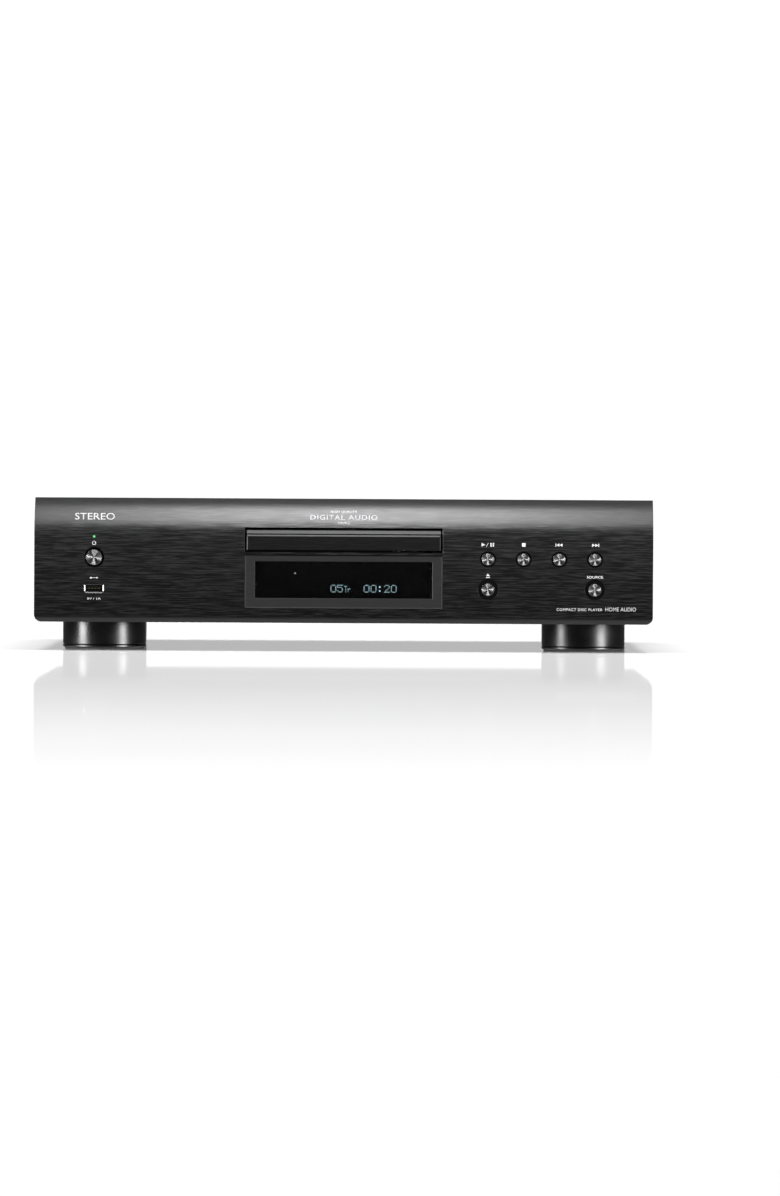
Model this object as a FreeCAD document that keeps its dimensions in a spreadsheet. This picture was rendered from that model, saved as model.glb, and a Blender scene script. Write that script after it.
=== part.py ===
"""A full-width compact disc player: metal case on four feet, brushed fascia with a display and seven push buttons, a
motorised disc tray, and the disc mechanism, boards, transformer and rear connectors inside.

Millimetres. +Z is up, -Y is the front and +X is to the right of someone facing the fascia. The origin is on the floor
under the middle of the case. Every piece is drawn where it sits with the tray closed and the pickup lowered.
"""
import FreeCAD, Part
import math
import os
import re

import Sketcher
from FreeCAD import Placement, Rotation, Vector

DIMENSIONS = """
case_w 434 width of the fascia
case_h 107 height from the floor to the top of the fascia
face_y -162.8 front plane of the fascia
face_depth 24 depth of the fascia's sides
face_low 19.8 underside of the fascia
face_wall 3.2 thickness of the fascia
curve_r 36 radius that rolls the top of the fascia back
curve_z 79 height where that roll begins
under_r 7 radius under the fascia's front
under_z 24.7 height where the flat front ends
corner_r 5 lower corners of the fascia seen from the front
slot_w 138.8 opening for the tray
slot_low 69.3 bottom of that opening
slot_high 86.7 top of that opening
bezel_w 139.2 display surround
bezel_low 30.0 bottom of the surround
bezel_high 67.3 top of the surround
glass_w 124.4 visible width of the display window
glass_low 37.2 bottom of the window
glass_high 63.0 top of the window
key_r 4.4 small push buttons
key_gap 0.8 space round a small push button
key_x 101.2 first push button of the right-hand group
key_pitch 25 step between the push buttons
key_z 65.2 upper row of push buttons
low_key_z 44.0 lower row of push buttons
low_key_r 4.55 eject and source buttons
low_key_gap 2.35 space round those
power_r 5.6 power button
power_gap 1.2 space round it
left_x -175 power button and media socket
proud 1.2 how far the buttons stand out
key_travel 0.6 travel of a push button
led_z 79.8 height of the power light
led_r 1.25 radius of the power light
usb_w 14.1 media socket shell
usb_tall 6.2 height of that shell
usb_z 43.0 height of the media socket
board_y -148.4 front of the front circuit board
pcb 1.6 thickness of a circuit board
door_w 136 tray door
door_low 71.0 bottom of the tray door
door_high 85.1 top of the tray door
door_y -163.4 front of the tray door
door_deep 6 thickness of the tray door
door_lip_z 80.6 height where the door's slanted top begins
tray_w 132 disc tray
tray_back 30 rear end of the tray
tray_floor 74 underside of the tray floor
tray_top 82 top of the tray
disc_y -87 centre of the disc
disc_r 61 radius of the disc recess
disc_z 77.5 floor of the disc recess
small_r 40.5 radius of the recess for a small disc
small_z 76.3 floor of that recess
slot_r 22 half width of the pickup slot in the tray
loader_w 144 loader frame
loader_front -146 front end of the loader frame
loader_back 35 rear end of the loader frame
deck_low 58 underside of the loader deck
deck 3 thickness of the loader deck
rail_x 61.5 inner side of the rails that carry the tray
hinge_y 24 traverse hinge
hinge_z 62 traverse hinge
drop_angle 4.45 how far the traverse hangs down when the tray may move
gear_x 46 drive gear
gear_y -129 gear train
seat_z 78.5 height of the disc seat with the traverse raised
bridge_z 88 underside of the clamp bridge
puck_low 80 underside of the clamp puck
floor_z 20 underside of the chassis pan
sheet_t 1 thickness of the sheet metal
case_front -138.6 front end of the chassis pan
case_back 152 outer face of the rear panel
cover_w 431 width of the top cover
cover_top 106.2 top of the top cover
foot_r 29.5 radius of a foot
foot_x 169.6 front feet
rear_foot_x 177.1 rear feet
front_foot_y -109 front feet
rear_foot_y 105 rear feet
pad_h 1.1 height of the pad under a foot
board_z 29 underside of the horizontal circuit boards
jack_z 55 height of the rear sockets
left_jack_x 168 left audio output
right_jack_x 150 right audio output
coax_x 118 coaxial output
optical_x 94 optical output
inlet_x -168 mains inlet
barrel_r 4.15 radius of an output socket's barrel
barrel_end 164 rear end of the barrels
"""

doc = FreeCAD.newDocument("disc_player")
sheet = doc.addObject("Spreadsheet::Sheet", "Sizes")
D = {}
for row, line in enumerate(DIMENSIONS.strip().splitlines(), 1):
    alias, number, note = line.split(" ", 2)
    sheet.set(f"A{row}", note)
    sheet.set(f"B{row}", number)
    sheet.setAlias(f"B{row}", alias)
    D[alias] = float(number)
doc.recompute()

WORD = re.compile(r"[a-z][a-z_]*")
AROUND = {"x": Rotation(Vector(0, 1, 0), 90), "y": Rotation(Vector(1, 0, 0), -90), "z": Rotation()}
CROSS = {"x": "yz", "y": "xz", "z": "xy"}
nodes = []


# ---------------------------------------------------------------- helpers
def bind(thing, name, formula):
    """Sets a property to a formula of the sheet's aliases."""
    text = WORD.sub(lambda m: "Sizes." + m.group() if m.group() in D else m.group(), str(formula))
    thing.setExpression(name, text)


def block(x, y, z, name="block"):
    """A box between a low and a high formula on each axis."""
    box = doc.addObject("Part::Box", name)
    for size, axis, (low, high) in zip(("Length", "Width", "Height"), "xyz", (x, y, z)):
        bind(box, size, f"({high}) - ({low})")
        bind(box, f"Placement.Base.{axis}", low)
    return box


def wide(half, y, z):
    """A box centred on X with that half width."""
    return block((f"-({half})", half), y, z)


def rod(along, radius, at, span, name="rod"):
    """A cylinder along an axis: at holds its two coordinates across the axis, span its two ends."""
    round_bar = doc.addObject("Part::Cylinder", name)
    round_bar.Placement = Placement(Vector(), AROUND[along])
    bind(round_bar, "Radius", radius)
    bind(round_bar, "Height", f"({span[1]}) - ({span[0]})")
    for axis, formula in zip(CROSS[along], at):
        bind(round_bar, f"Placement.Base.{axis}", formula)
    bind(round_bar, f"Placement.Base.{along}", span[0])
    return round_bar


def joined(*parts):
    """One solid out of several that touch."""
    if len(parts) == 1:
        return parts[0]
    whole = doc.addObject("Part::MultiFuse", "joined")
    whole.Shapes = list(parts)
    whole.Refine = True
    return whole


def group(*parts):
    """Separate solids kept together."""
    whole = doc.addObject("Part::Compound", "group")
    whole.Links = list(parts)
    return whole


def cut(base, *tools):
    """base with the tools taken away."""
    rest = doc.addObject("Part::Cut", "cut")
    rest.Base = base
    rest.Tool = tools[0] if len(tools) == 1 else group(*tools)
    rest.Refine = True
    return rest


def node(name, thing):
    """Names a finished piece, which is written under that name."""
    thing.Label = name
    nodes.append(thing)
    return thing


def lowered(thing):
    """Swings a piece of the traverse down about its hinge."""
    hinge = Vector(0, D["hinge_y"], D["hinge_z"])
    swing = Placement(Vector(), Rotation(Vector(1, 0, 0), D["drop_angle"]), hinge)
    thing.Placement = swing.multiply(thing.Placement)
    return thing


def new_body(name):
    return doc.addObject("PartDesign::Body", name)


def sketch(owner, role, offset="0"):
    """A sketch on one of the body's own planes."""
    drawing = owner.newObject("Sketcher::SketchObject", "Sketch")
    plane = next(f for f in owner.Origin.OriginFeatures if f.Role == role)
    drawing.AttachmentSupport = (plane, "")
    drawing.MapMode = "FlatFace"
    bind(drawing, "AttachmentOffset.Base.z", offset)
    return drawing


def hold(drawing, kind, *where, start=1.0):
    """A dimension of the sketch that starts at a number and is bound to the last item, a formula."""
    index = drawing.addConstraint(Sketcher.Constraint(kind, *where[:-1], start))
    bind(drawing, f"Constraints[{index}]", where[-1])


def circle(drawing, radius, u="0", v="0"):
    ring = drawing.addGeometry(Part.Circle(Vector(), Vector(0, 0, 1), 1))
    hold(drawing, "Radius", ring, radius)
    hold(drawing, "DistanceX", -1, 1, ring, 3, u)
    hold(drawing, "DistanceY", -1, 1, ring, 3, v)


def outline(drawing, corners, arc=None, near=None):
    """A closed outline through the corners. A corner is two formulas, and None leaves one free. arc is (side, centre,
    radius, first guess): that side, from its corner to the next one, runs anticlockwise about the centre. near holds
    numbers close to the corners, which an outline with an arc needs so that it closes on the right side."""
    count, first = len(corners), drawing.GeometryCount
    near = near or [(math.cos(6.2 * k / count), math.sin(6.2 * k / count)) for k in range(count)]
    spots = [Vector(u, v, 0) for u, v in near]
    for k in range(count):
        if arc and k == arc[0]:
            u, v, radius, start, end = arc[3]
            whole = Part.Circle(Vector(u, v, 0), Vector(0, 0, 1), radius)
            drawing.addGeometry(Part.ArcOfCircle(whole, math.radians(start), math.radians(end)))
            hold(drawing, "DistanceX", -1, 1, first + k, 3, arc[1][0], start=u)
            hold(drawing, "DistanceY", -1, 1, first + k, 3, arc[1][1], start=v)
            hold(drawing, "Radius", first + k, arc[2], start=radius)
        else:
            drawing.addGeometry(Part.LineSegment(spots[k], spots[(k + 1) % count]))
    for k in range(count):
        drawing.addConstraint(Sketcher.Constraint("Coincident", first + k, 2, first + (k + 1) % count, 1))
    for k, (u, v) in enumerate(corners):
        if u is not None:
            hold(drawing, "DistanceX", -1, 1, first + k, 1, u, start=near[k][0])
        if v is not None:
            hold(drawing, "DistanceY", -1, 1, first + k, 1, v, start=near[k][1])


def box_outline(drawing, u, v):
    outline(drawing, [(u[0], v[0]), (u[1], v[0]), (u[1], v[1]), (u[0], v[1])])


def pad(owner, profile, length, side="One side", reverse=False, kind="Pad"):
    grown = owner.newObject("PartDesign::" + kind, kind)
    grown.Profile = profile
    grown.SideType = side
    grown.Reversed = reverse
    bind(grown, "Length", length)
    return grown


def pocket(owner, profile, length, side="One side", reverse=False):
    return pad(owner, profile, length, side, reverse, "Pocket")


def turned(owner, corners, plane="XZ_Plane"):
    """A solid of revolution about the body's Z axis: each corner is a radius and a height."""
    drawing = sketch(owner, plane)
    outline(drawing, corners)
    spun = owner.newObject("PartDesign::Revolution", "Revolution")
    spun.Profile = drawing
    spun.ReferenceAxis = (drawing, ["V_Axis"])
    spun.Angle = 360
    return spun


def repeated(owner, feature, drawing, count):
    """The feature repeated round the sketch's normal."""
    ring = owner.newObject("PartDesign::PolarPattern", "PolarPattern")
    ring.Originals = [feature]
    ring.Axis = (drawing, ["N_Axis"])
    ring.Angle = 360
    ring.Occurrences = count
    owner.Tip = ring
    return ring


def dressed(owner, kind, size, base, wanted):
    """A fillet or chamfer on those edges of base that wanted() picks."""
    doc.recompute()
    names = [f"Edge{k}" for k, e in enumerate(base.Shape.Edges, 1) if wanted(e)]
    edge = owner.newObject("PartDesign::" + kind, kind)
    edge.Base = (base, names)
    bind(edge, "Radius" if kind == "Fillet" else "Size", size)
    return edge


def place(thing, x="0", y="0", z="0", turn=None):
    """Puts a body that was drawn about its own origin where it belongs."""
    if turn is not None:
        thing.Placement = Placement(Vector(), turn)
    for axis, formula in zip("xyz", (x, y, z)):
        bind(thing, f"Placement.Base.{axis}", formula)
    return thing


# ---------------------------------------------------------------- fascia and what it carries
def front_panel():
    """The aluminium fascia: a deep shell whose front rolls back at the top and, more tightly, underneath."""
    body = new_body("fascia")
    front = sketch(body, "XZ_Plane", "-face_y - face_depth")
    box_outline(front, ("-case_w / 2", "case_w / 2"), ("face_low", "case_h"))
    slab = pad(body, front, "face_depth")
    lowest = D["face_low"] + 1
    corners = dressed(body, "Fillet", "corner_r", slab, lambda e: abs(e.BoundBox.YLength - D["face_depth"]) < 0.1
                      and e.BoundBox.ZMax < lowest)
    body.Tip = corners

    y, top, low = D["face_y"], D["case_h"], D["face_low"]
    centre = y + D["curve_r"]
    roll = sketch(body, "YZ_Plane")
    outline(roll, [(None, "case_h"), (None, "curve_z"), ("face_y - 1", "curve_z"), ("face_y - 1", "case_h + 1"),
                   ("face_y + curve_r - sqrt(curve_r ^ 2 - (case_h - curve_z) ^ 2)", "case_h + 1")],
            (0, ("face_y + curve_r", "curve_z"), "curve_r", (centre, D["curve_z"], D["curve_r"], 129, 180)),
            [(y + 13.4, top), (y, D["curve_z"]), (y - 1, D["curve_z"]), (y - 1, top + 1), (y + 13.4, top + 1)])
    pocket(body, roll, "case_w + 2", "Symmetric")

    under = sketch(body, "YZ_Plane")
    reach = "face_y + under_r - sqrt(under_r ^ 2 - (under_z - face_low) ^ 2)"
    outline(under, [(None, "under_z"), (None, "face_low"), (reach, "face_low - 1"),
                    ("face_y - 1", "face_low - 1"), ("face_y - 1", "under_z")],
            (0, ("face_y + under_r", "under_z"), "under_r",
             (y + D["under_r"], D["under_z"], D["under_r"], 180, 224)),
            [(y, D["under_z"]), (y + 2, low), (y + 2, low - 1), (y - 1, low - 1), (y - 1, D["under_z"])])
    pocket(body, under, "case_w + 2", "Symmetric")

    hollow = sketch(body, "YZ_Plane")
    outline(hollow, [(None, "case_h - face_wall"), (None, "curve_z"),
                     ("face_y + face_wall", "under_z"), ("face_y + under_z - face_low", "face_low + 3"),
                     ("face_y + face_depth + 1", "face_low + 3"), ("face_y + face_depth + 1", "case_h - face_wall")],
            (0, ("face_y + curve_r", "curve_z"), "curve_r - face_wall",
             (centre, D["curve_z"], D["curve_r"] - D["face_wall"], 131, 180)),
            [(y + 14.6, top - 3.2), (y + 3.2, D["curve_z"]), (y + 3.2, D["under_z"]), (y + 4.9, low + 3),
             (y + 25, low + 3), (y + 25, top - 3.2)])
    pocket(body, hollow, "case_w - 2 * face_wall", "Symmetric")

    holes = sketch(body, "XZ_Plane", "-face_y + 1")
    box_outline(holes, ("-slot_w / 2", "slot_w / 2"), ("slot_low", "slot_high"))
    box_outline(holes, ("-bezel_w / 2", "bezel_w / 2"), ("bezel_low", "bezel_high"))
    box_outline(holes, ("left_x - usb_w / 2 - 0.2", "left_x + usb_w / 2 + 0.2"),
                ("usb_z - usb_tall / 2 - 0.2", "usb_z + usb_tall / 2 + 0.2"))
    circle(holes, "led_r + 0.1", "left_x", "led_z")
    for key in KEYS:
        circle(holes, f"{key['r']} + {key['gap']}", key["x"], key["z"])
    opened = pocket(body, holes, "curve_r / 2")
    front = D["face_y"] + 0.01
    slot_end = D["slot_w"] / 2
    slot_rims = dressed(body, "Chamfer", "0.4", opened, lambda e: e.BoundBox.YMin < front and e.BoundBox.ZLength > 5
                        and abs(abs(e.BoundBox.Center.x) - slot_end) < 0.01)
    body.Tip = slot_rims
    wide_rims = dressed(body, "Chamfer", "0.6", slot_rims, lambda e: e.BoundBox.YMax < front
                        and e.Curve.TypeId == "Part::GeomCircle" and 6.5 < e.Curve.Radius < 7.5)
    body.Tip = wide_rims
    return node("front_panel", body)


KEYS = [
    dict(name="power_button", x="left_x", z="key_z", r="power_r", gap="power_gap"),
    *(dict(name=name, x=f"key_x + {k} * key_pitch", z="key_z", r="key_r", gap="key_gap")
      for k, name in enumerate(("play_button", "stop_button", "previous_button", "next_button"))),
    dict(name="eject_button", x="key_x", z="low_key_z", r="low_key_r", gap="low_key_gap"),
    dict(name="source_button", x="key_x + 3 * key_pitch", z="low_key_z", r="low_key_r", gap="low_key_gap"),
]


def push_button(key):
    """A turned metal cap with a shallow dish, a collar behind the front frame and a stub that meets its switch."""
    body = new_body(key["name"])
    r = key["r"]
    stub, collar, back = "2", f"{r} + 1.6", "proud - face_y + board_y - 4.95"
    turned(body, [("0", "-0.25"), (f"{r} - 0.9", "0"), (f"{r} - 0.45", "0"), (r, "-0.45"),
                  (r, "-proud - face_wall - 3.4"), (collar, "-proud - face_wall - 3.4"),
                  (collar, "-proud - face_wall - 4.4"), (stub, "-proud - face_wall - 4.4"), (stub, f"-({back})"),
                  ("0", f"-({back})")])
    place(body, key["x"], "face_y - proud", key["z"], Rotation(Vector(1, 0, 0), 90))
    return node(key["name"], body)


def front_frame():
    """The moulded plate behind the fascia. It holds the window and guides the buttons, and has a collar round each of
    the two that sit in wide holes. Its lip under the tray door is notched where the tray's rack passes."""
    y = ("face_y + face_wall", "face_y + face_wall + 3")
    plate = wide("case_w / 2 - 5", y, ("face_low + 5.2", "curve_z - 2"))
    collars = [rod("y", "low_key_r + low_key_gap - 0.1", (key["x"], key["z"]), ("face_y + 0.6", y[1]))
               for key in KEYS if key["r"] == "low_key_r"]
    through = ("face_y", "face_y + 10")
    tools = [wide("slot_w / 2 + 1", through, ("door_low - 0.6", "curve_z")),
             block(("gear_x + 9", "rail_x + 0.6"), through, ("slot_low - 1", "curve_z")),
             wide("glass_w / 2 + 2", through, ("glass_low - 2", "glass_high + 2")),
             block(("left_x - usb_w / 2 - 0.3", "left_x + usb_w / 2 + 0.3"), through,
                   ("usb_z - usb_tall / 2 - 0.3", "usb_z + usb_tall / 2 + 0.3"))]
    tools += [rod("y", f"{key['r']} + 0.2", (key["x"], key["z"]), through) for key in KEYS]
    return node("front_frame", cut(joined(plate, *collars), *tools))


def display():
    """The surround, the smoked window, the luminous panel and the light guide of the power lamp."""
    body = new_body("surround")
    front = sketch(body, "XZ_Plane", "-face_y - 0.4")
    rim = "bezel_w / 2 - 0.1"
    box_outline(front, (f"-({rim})", rim), ("bezel_low + 0.1", "bezel_high - 0.1"))
    slab = pad(body, front, "face_wall - 0.4", reverse=True)
    window = sketch(body, "XZ_Plane", "-face_y + 1")
    box_outline(window, ("-glass_w / 2", "glass_w / 2"), ("glass_low", "glass_high"))
    opened = pocket(body, window, "face_wall + 2")
    face = D["face_y"] + 0.41
    edge = dressed(body, "Chamfer", "0.35", opened, lambda e: e.BoundBox.YMax < face)
    body.Tip = edge
    node("display_bezel", body)

    inner = wide("glass_w / 2 - 0.1", ("face_y + 0.9", "face_y + face_wall"), ("glass_low + 0.1", "glass_high - 0.1"))
    outer = wide("glass_w / 2 + 1.9", ("face_y + face_wall", "face_y + face_wall + 2.8"),
                 ("glass_low - 1.9", "glass_high + 1.9"))
    node("display_window", joined(inner, outer))
    glass = wide("glass_w / 2 - 2", ("face_y + face_wall + 3", "board_y"), ("glass_low", "glass_high"))
    node("display_panel", glass)

    pipe = joined(rod("y", "led_r", ("left_x", "led_z"), ("face_y - 0.1", "face_y + face_wall + 2")),
                  rod("y", "led_r + 0.9", ("left_x", "led_z"), ("face_y + face_wall + 0.3", "board_y - 1.6")))
    node("led_light_pipe", pipe)


def front_board():
    """The circuit board behind the fascia, notched round the tray, with a switch behind each button."""
    y = ("board_y", "board_y + pcb")
    whole = wide("case_w / 2 - 12", y, ("face_low + 6", "led_z + 3"))
    notch = wide("slot_w / 2 + 6", ("board_y - 1", "board_y + 3"), ("glass_high + 1", "led_z + 4"))
    node("front_board", cut(whole, notch))
    switches = []
    for key in KEYS:
        box = block((f"{key['x']} - 3", f"{key['x']} + 3"), ("board_y - 3.5", "board_y"),
                    (f"{key['z']} - 3", f"{key['z']} + 3"))
        switches.append(joined(box, rod("y", "1.7", (key["x"], key["z"]), ("board_y - 4.3", "board_y - 3.5"))))
    lamp = block(("left_x - 1.5", "left_x + 1.5"), ("board_y - 1.5", "board_y"), ("led_z - 1.5", "led_z + 1.5"))
    node("tact_switches", group(*switches, lamp))


def media_socket():
    """The front socket: a steel shell whose mouth flares outwards in separate flaps, and the tongue that carries its
    contacts."""
    x = ("left_x - usb_w / 2", "left_x + usb_w / 2")
    z = ("usb_z - usb_tall / 2", "usb_z + usb_tall / 2")
    outer = block(x, ("face_y + 0.2", "board_y"), z)
    inner = block((x[0] + " + 1", x[1] + " - 1"), ("face_y", "board_y - 0.5"), (z[0] + " + 0.95", z[1] + " - 0.5"))
    mouth = doc.addObject("Part::Wedge", "mouth")
    bind(mouth, "Xmin", x[0] + " + 0.1")
    bind(mouth, "Xmax", x[1] + " - 0.1")
    bind(mouth, "X2min", x[0] + " + 1")
    bind(mouth, "X2max", x[1] + " - 1")
    bind(mouth, "Ymin", "face_y + 0.2")
    bind(mouth, "Ymax", "face_y + 0.75")
    bind(mouth, "Zmin", z[0] + " + 0.1")
    bind(mouth, "Zmax", z[1] + " - 0.3")
    bind(mouth, "Z2min", z[0] + " + 0.95")
    bind(mouth, "Z2max", z[1] + " - 0.5")
    deep, high = ("face_y", "face_y + 0.9"), (z[0] + " - 1", z[0] + " + 1.5")
    corners = [block((x[0] + " - 1", x[0] + " + 1.2"), deep, high), block((x[1] + " - 1.2", x[1] + " + 1"), deep, high)]
    node("usb_shell", cut(outer, inner, mouth, *corners))
    tongue = block(("left_x - 5.6", "left_x + 5.6"), ("face_y + 1.4", "board_y - 0.5"),
                   ("usb_z + 0.1", "usb_z + 1.9"))
    node("usb_tongue", tongue)


# ---------------------------------------------------------------- tray and loader
def tray():
    """The tray with recesses for both disc sizes, a slot for the pickup and a rack, and the door on its front."""
    body = new_body("tray_door_body")
    side = sketch(body, "YZ_Plane")
    back = "door_y + door_deep"
    line = "door_lip_z + 1.05"
    outline(side, [("door_y", "door_low"), (back, "door_low"), (back, "door_high"), ("door_y + 2.6", "door_high"),
                   ("door_y + 1.3", f"{line} + 0.8"), ("door_y + 2.3", f"{line} + 0.75"),
                   ("door_y + 2.3", f"{line} + 0.05"), ("door_y + 0.5", line), ("door_y", "door_lip_z")])
    slab = pad(body, side, "door_w", "Symmetric")
    front = D["door_y"] + 0.1
    ends = dressed(body, "Chamfer", "0.6", slab, lambda e: e.BoundBox.XLength < 0.1 and e.BoundBox.YMax < front)
    body.Tip = ends
    node("tray_door", body)

    plan = new_body("tray_body")
    base = sketch(plan, "XY_Plane", "tray_floor")
    box_outline(base, ("-tray_w / 2", "tray_w / 2"), (back, "tray_back"))
    pad(plan, base, "tray_top - tray_floor")
    for radius, height in (("disc_r", "disc_z"), ("small_r", "small_z")):
        ring = sketch(plan, "XY_Plane", "tray_top + 1")
        circle(ring, radius, "0", "disc_y")
        pocket(plan, ring, f"tray_top + 1 - {height}")
    rear = sketch(plan, "XY_Plane", "tray_top + 1")
    box_outline(rear, ("-tray_w / 2 + 9", "tray_w / 2 - 9"), ("disc_y + disc_r - 4", "tray_back + 1"))
    pocket(plan, rear, "tray_top + 1 - disc_z - 1")
    slot = sketch(plan, "XY_Plane", "tray_top + 1")
    box_outline(slot, ("-slot_r", "slot_r"), ("disc_y", "disc_y + disc_r + 6"))
    pocket(plan, slot, "tray_top + 2 - tray_floor")
    well = sketch(plan, "XY_Plane", "tray_top + 1")
    circle(well, "slot_r", "0", "disc_y")
    pocket(plan, well, "tray_top + 2 - tray_floor")
    fingers = sketch(plan, "XY_Plane", "tray_top + 1")
    circle(fingers, "9", "disc_r - 4", "disc_y")
    circle(fingers, "9", "4 - disc_r", "disc_y")
    pocket(plan, fingers, "tray_top + 1 - small_z")
    rails = sketch(plan, "XY_Plane", "tray_floor - 2.8")
    for sides in (("rail_x + 1", "tray_w / 2"), ("-tray_w / 2", "-rail_x - 1")):
        box_outline(rails, sides, (back, "tray_back"))
    pad(plan, rails, "2.8")
    strip = sketch(plan, "XY_Plane", "tray_floor - 4.4")
    rack_y, pitch = "gear_y - 4", "pi"
    box_outline(strip, ("gear_x + 11 + 1.25", "rail_x - 0.3"), (rack_y, f"{rack_y} + 49 * {pitch}"))
    pad(plan, strip, "4.4")
    cog = sketch(plan, "XY_Plane", "tray_floor - 4.4")
    line, middle = "gear_x + 11", f"gear_y + {pitch} / 2"
    outline(cog, [(f"{line} + 1.3", f"{middle} - 1.1"), (f"{line} - 0.9", f"{middle} - 0.35"),
                  (f"{line} - 0.9", f"{middle} + 0.35"), (f"{line} + 1.3", f"{middle} + 1.1")])
    tooth = pad(plan, cog, "4.4")
    doc.recompute()
    row = plan.newObject("PartDesign::LinearPattern", "Rack")
    row.Originals = [tooth]
    row.Direction = (cog, ["V_Axis"])
    row.Mode = "Spacing"
    bind(row, "Offset", pitch)
    row.Occurrences = 47
    plan.Tip = row
    node("disc_tray", plan)


def loader():
    """The moulded frame that guides the tray, with the bridge over it and the puck that clamps the disc."""
    length = ("loader_front", "loader_back")
    half = "loader_w / 2"
    deck = wide(half, length, ("deck_low", "deck_low + deck"))
    parts = [deck, wide(half, ("gear_y + 11", "gear_y + 14"), ("floor_z + 24", "deck_low")),
             wide("50", ("gear_y + 11", "gear_y + 18.6"), ("floor_z + 23", "floor_z + 25.2")),
             wide(half, ("loader_back - 3", "loader_back"), ("floor_z + 24", "deck_low"))]
    for near, far in (("rail_x + 7.5", half), ("-" + half, "-rail_x - 7.5")):
        parts.append(block((near, far), length, ("floor_z + 24", "bridge_z")))
    for near, far in (("rail_x", half), ("-" + half, "-rail_x")):
        parts.append(block((near, far), length, ("deck_low + deck", "tray_floor - 3")))
    for near, far in (("tray_w / 2 - 2", half), ("-" + half, "2 - tray_w / 2")):
        for y in (("loader_front", "loader_front + 8"), ("loader_back - 16", "loader_back - 8")):
            parts.append(block((near, far), y, ("tray_top + 0.4", "tray_top + 2.4")))
    for near, far in (("48", "53"), ("-53", "-48")):
        parts.append(block((near, far), ("hinge_y - 5", "hinge_y + 5"), ("deck_low", "hinge_z + 4")))
    parts.append(rod("z", "1.5", ("gear_x", "gear_y"), ("deck_low + deck", "tray_floor - 0.5")))
    parts.append(rod("z", "1.5", ("gear_x - 19.2", "gear_y"), ("deck_low + deck", "tray_floor - 3.5")))
    holes = [wide("52", ("gear_y + 15", "hinge_y - 5"), ("deck_low - 1", "deck_low + deck + 1")),
             wide("48", ("hinge_y - 6", "hinge_y + 6"), ("deck_low - 1", "deck_low + deck + 1")),
             rod("x", "2.06", ("hinge_y", "hinge_z"), ("-54", "54")),
             rod("z", "3", ("-20", "gear_y - 2"), ("deck_low - 1", "deck_low + deck + 1"))]
    holes += [rod("z", "1.25", (x, y), ("bridge_z - 6", "bridge_z + 1"))
              for x in ("70.5", "-70.5") for y in ("disc_y - 19", "disc_y + 19")]
    posts = [rod("z", "5", at, ("floor_z + sheet_t + 8", "deck_low")) for at in LOADER_POSTS]
    holes += [rod("z", "1.45", at, ("floor_z", "deck_low - 12")) for at in LOADER_POSTS]
    node("loader_frame", cut(joined(*parts, *posts), *holes))

    bridge = joined(wide(half, ("disc_y - 24", "disc_y + 24"), ("bridge_z", "bridge_z + 1.5")),
                    wide(half + " - 6", ("disc_y - 24", "disc_y - 22.5"), ("bridge_z + 1.5", "bridge_z + 5")),
                    wide(half + " - 6", ("disc_y + 22.5", "disc_y + 24"), ("bridge_z + 1.5", "bridge_z + 5")))
    openings = [rod("z", "16.2", ("0", "disc_y"), ("bridge_z - 1", "bridge_z + 2"))]
    openings += [rod("z", "1.35", (x, y), ("bridge_z - 1", "bridge_z + 2"))
                 for x in ("70.5", "-70.5") for y in ("disc_y - 19", "disc_y + 19")]
    node("clamp_bridge", cut(bridge, *openings))

    puck = new_body("puck")
    top = "bridge_z + 1.7"
    turned(puck, [("8.6", "puck_low"), ("15", "puck_low"), ("15", top), ("19.5", top), ("19.5", f"{top} + 1.4"),
                  ("0", f"{top} + 1.4"), ("0", "puck_low + 3.4"), ("8.6", "puck_low + 3.4")])
    place(puck, "0", "disc_y")
    node("clamp_puck", puck)


def wheel(name, teeth, module, low, thick, turn="0", hub=None):
    """Adds one toothed wheel about the body's axis, between the heights low and low + thick."""
    body = name
    root = sketch(body, "XY_Plane", low)
    circle(root, f"{module} * ({teeth} / 2 - 1.25)")
    circle(root, "1.56")
    pad(body, root, thick)
    tooth = sketch(body, "XY_Plane", low)
    bind(tooth, "AttachmentOffset.Rotation.Angle", turn)
    inner, pitch = f"{module} * ({teeth} / 2 - 1.6)", f"{module} * {teeth} / 2"
    outline(tooth, [(inner, f"-{module} * 0.9"), (pitch, f"-{module} * 0.68"), (f"{pitch} + {module} * 0.9",
            f"-{module} * 0.3"), (f"{pitch} + {module} * 0.9", f"{module} * 0.3"), (pitch, f"{module} * 0.68"),
                    (inner, f"{module} * 0.9")])
    return repeated(body, pad(body, tooth, thick), tooth, teeth)


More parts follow.
